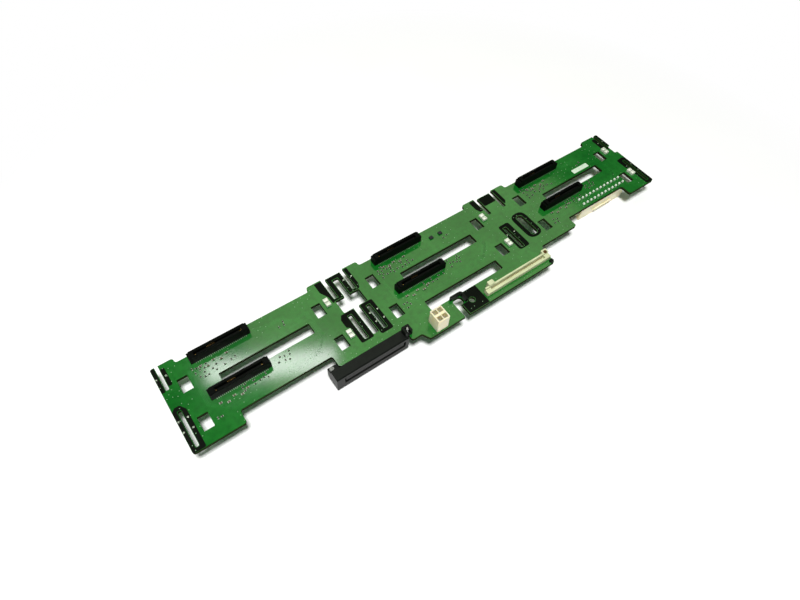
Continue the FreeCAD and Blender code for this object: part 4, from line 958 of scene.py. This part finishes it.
# %% [markdown]
# ## Floor
# The board lies with its deepest connector at the level of a plain white floor, so it casts a
# dark shadow that shows through its slots. The floor is matt white paint that takes the
# shadow. Away from the board it fades to plain white where the camera sees it, as a sweep of
# paper does, and the light on the board isn't changed by that.

# %% Floor paint
FADE_START, FADE_END = 0.26, 0.40  # metres from the screw hole
PAINT_CLOUD = 60.0


def make_floor_paint():
    """Matt white paint that fades to plain white away from the board."""
    material = bpy.data.materials.new("matt_white_floor")
    material.use_nodes = True
    tree = material.node_tree
    tree.nodes.clear()
    place = add(tree, "ShaderNodeTexCoord").outputs["Object"]
    tone = blend(tree, grain(tree, place, PAINT_CLOUD), "FBFBFA", "FFFFFF")
    paint = add(tree, "ShaderNodeBsdfDiffuse", inputs={"Color": tone})
    far = add(tree, "ShaderNodeVectorMath", {"operation": "LENGTH"}, {0: place}).outputs["Value"]
    seen = add(tree, "ShaderNodeLightPath").outputs["Is Camera Ray"]
    share = add(tree, "ShaderNodeMath", {"operation": "MULTIPLY"},
                {0: span(tree, far, FADE_START, FADE_END), 1: seen}).outputs["Value"]
    white = add(tree, "ShaderNodeEmission").outputs["Emission"]
    sweep = add(tree, "ShaderNodeMixShader", inputs={
        0: share, 1: paint.outputs["BSDF"], 2: white})
    add(tree, "ShaderNodeOutputMaterial", inputs={"Surface": sweep.outputs["Shader"]})
    return material


# %% Floor
FLOOR_REACH = 4.0
floor_level = CAD_BOX[0][2]
corners = box_outline(-FLOOR_REACH, FLOOR_REACH, -FLOOR_REACH, FLOOR_REACH)
floor = mesh_object("floor", [(x, y, floor_level) for x, y in corners], faces=[(0, 1, 2, 3)])
floor.data.materials.append(make_floor_paint())
floor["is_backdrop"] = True
print(f"floor {-floor_level / MM:.1f} mm below the drive side")

# %% [markdown]
# ## Lamps
# All lamps hang level. The key lamp hangs 1.4 m up beyond the left front corner, near enough
# for soft shadows with a clear direction. A narrow strip lamp behind the near end draws the
# bright streak across the mask, and a broad dim panel behind the rest of the board gives it
# its sheen. The sun or a spot could light the board too, but only a lamp with a real size is
# mirrored in the mask.

# %% Lamps
def lamp(name, place, width, depth, watts, turn=0.0, colour="FFFFFF"):
    """A rectangular soft lamp, in metres and watts, that hangs level and shines down."""
    light = bpy.data.lights.new(name, "AREA")
    light.shape = "RECTANGLE"
    light.size, light.size_y, light.energy = width, depth, watts
    light.color = linear(colour)[:3]
    fixture = placed(name, light)
    fixture.location = place
    fixture.rotation_euler.z = math.radians(turn)
    print(f"{name}: {watts} W, {place[2]} m up")


lamp("key_lamp", (-0.25, -0.25, 1.40), 0.34, 0.34, 23.5)
lamp("strip_lamp", (-0.046, 0.459, 0.80), 0.28, 0.052, 0.42, turn=-27.0)
lamp("panel_lamp", (0.400, 0.490, 0.80), 0.94, 0.44, 1.05, colour="F2FFCC")

# %% [markdown]
# ## The room
# The room is white where the camera sees it, pale where it lights the board, and dim where
# the glossy mask mirrors it, as a studio with dark walls and a white sweep would be.

# %% World
ROOM_FILL = 0.085
ROOM_MIRRORED = 0.04

world = bpy.data.worlds.new("studio")
bpy.context.scene.world = world
world.use_nodes = True
room = world.node_tree
ray = add(room, "ShaderNodeLightPath")
seen = add(room, "ShaderNodeMath", {"operation": "MULTIPLY_ADD"}, {
    0: ray.outputs["Is Camera Ray"], 1: 1.0 - ROOM_FILL, 2: ROOM_FILL}).outputs["Value"]
mirrored = add(room, "ShaderNodeMath", {"operation": "MULTIPLY_ADD"}, {
    0: ray.outputs["Is Glossy Ray"], 1: ROOM_MIRRORED - ROOM_FILL, 2: seen}).outputs["Value"]
room.links.new(mirrored, room.nodes["Background"].inputs["Strength"])
room.nodes["Background"].inputs["Color"].default_value = linear("FFFFFF")
bpy.context.scene.view_settings.view_transform = "Standard"
print(f"room fill {ROOM_FILL}, mirrored {ROOM_MIRRORED}")

# %% Finish
low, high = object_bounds()
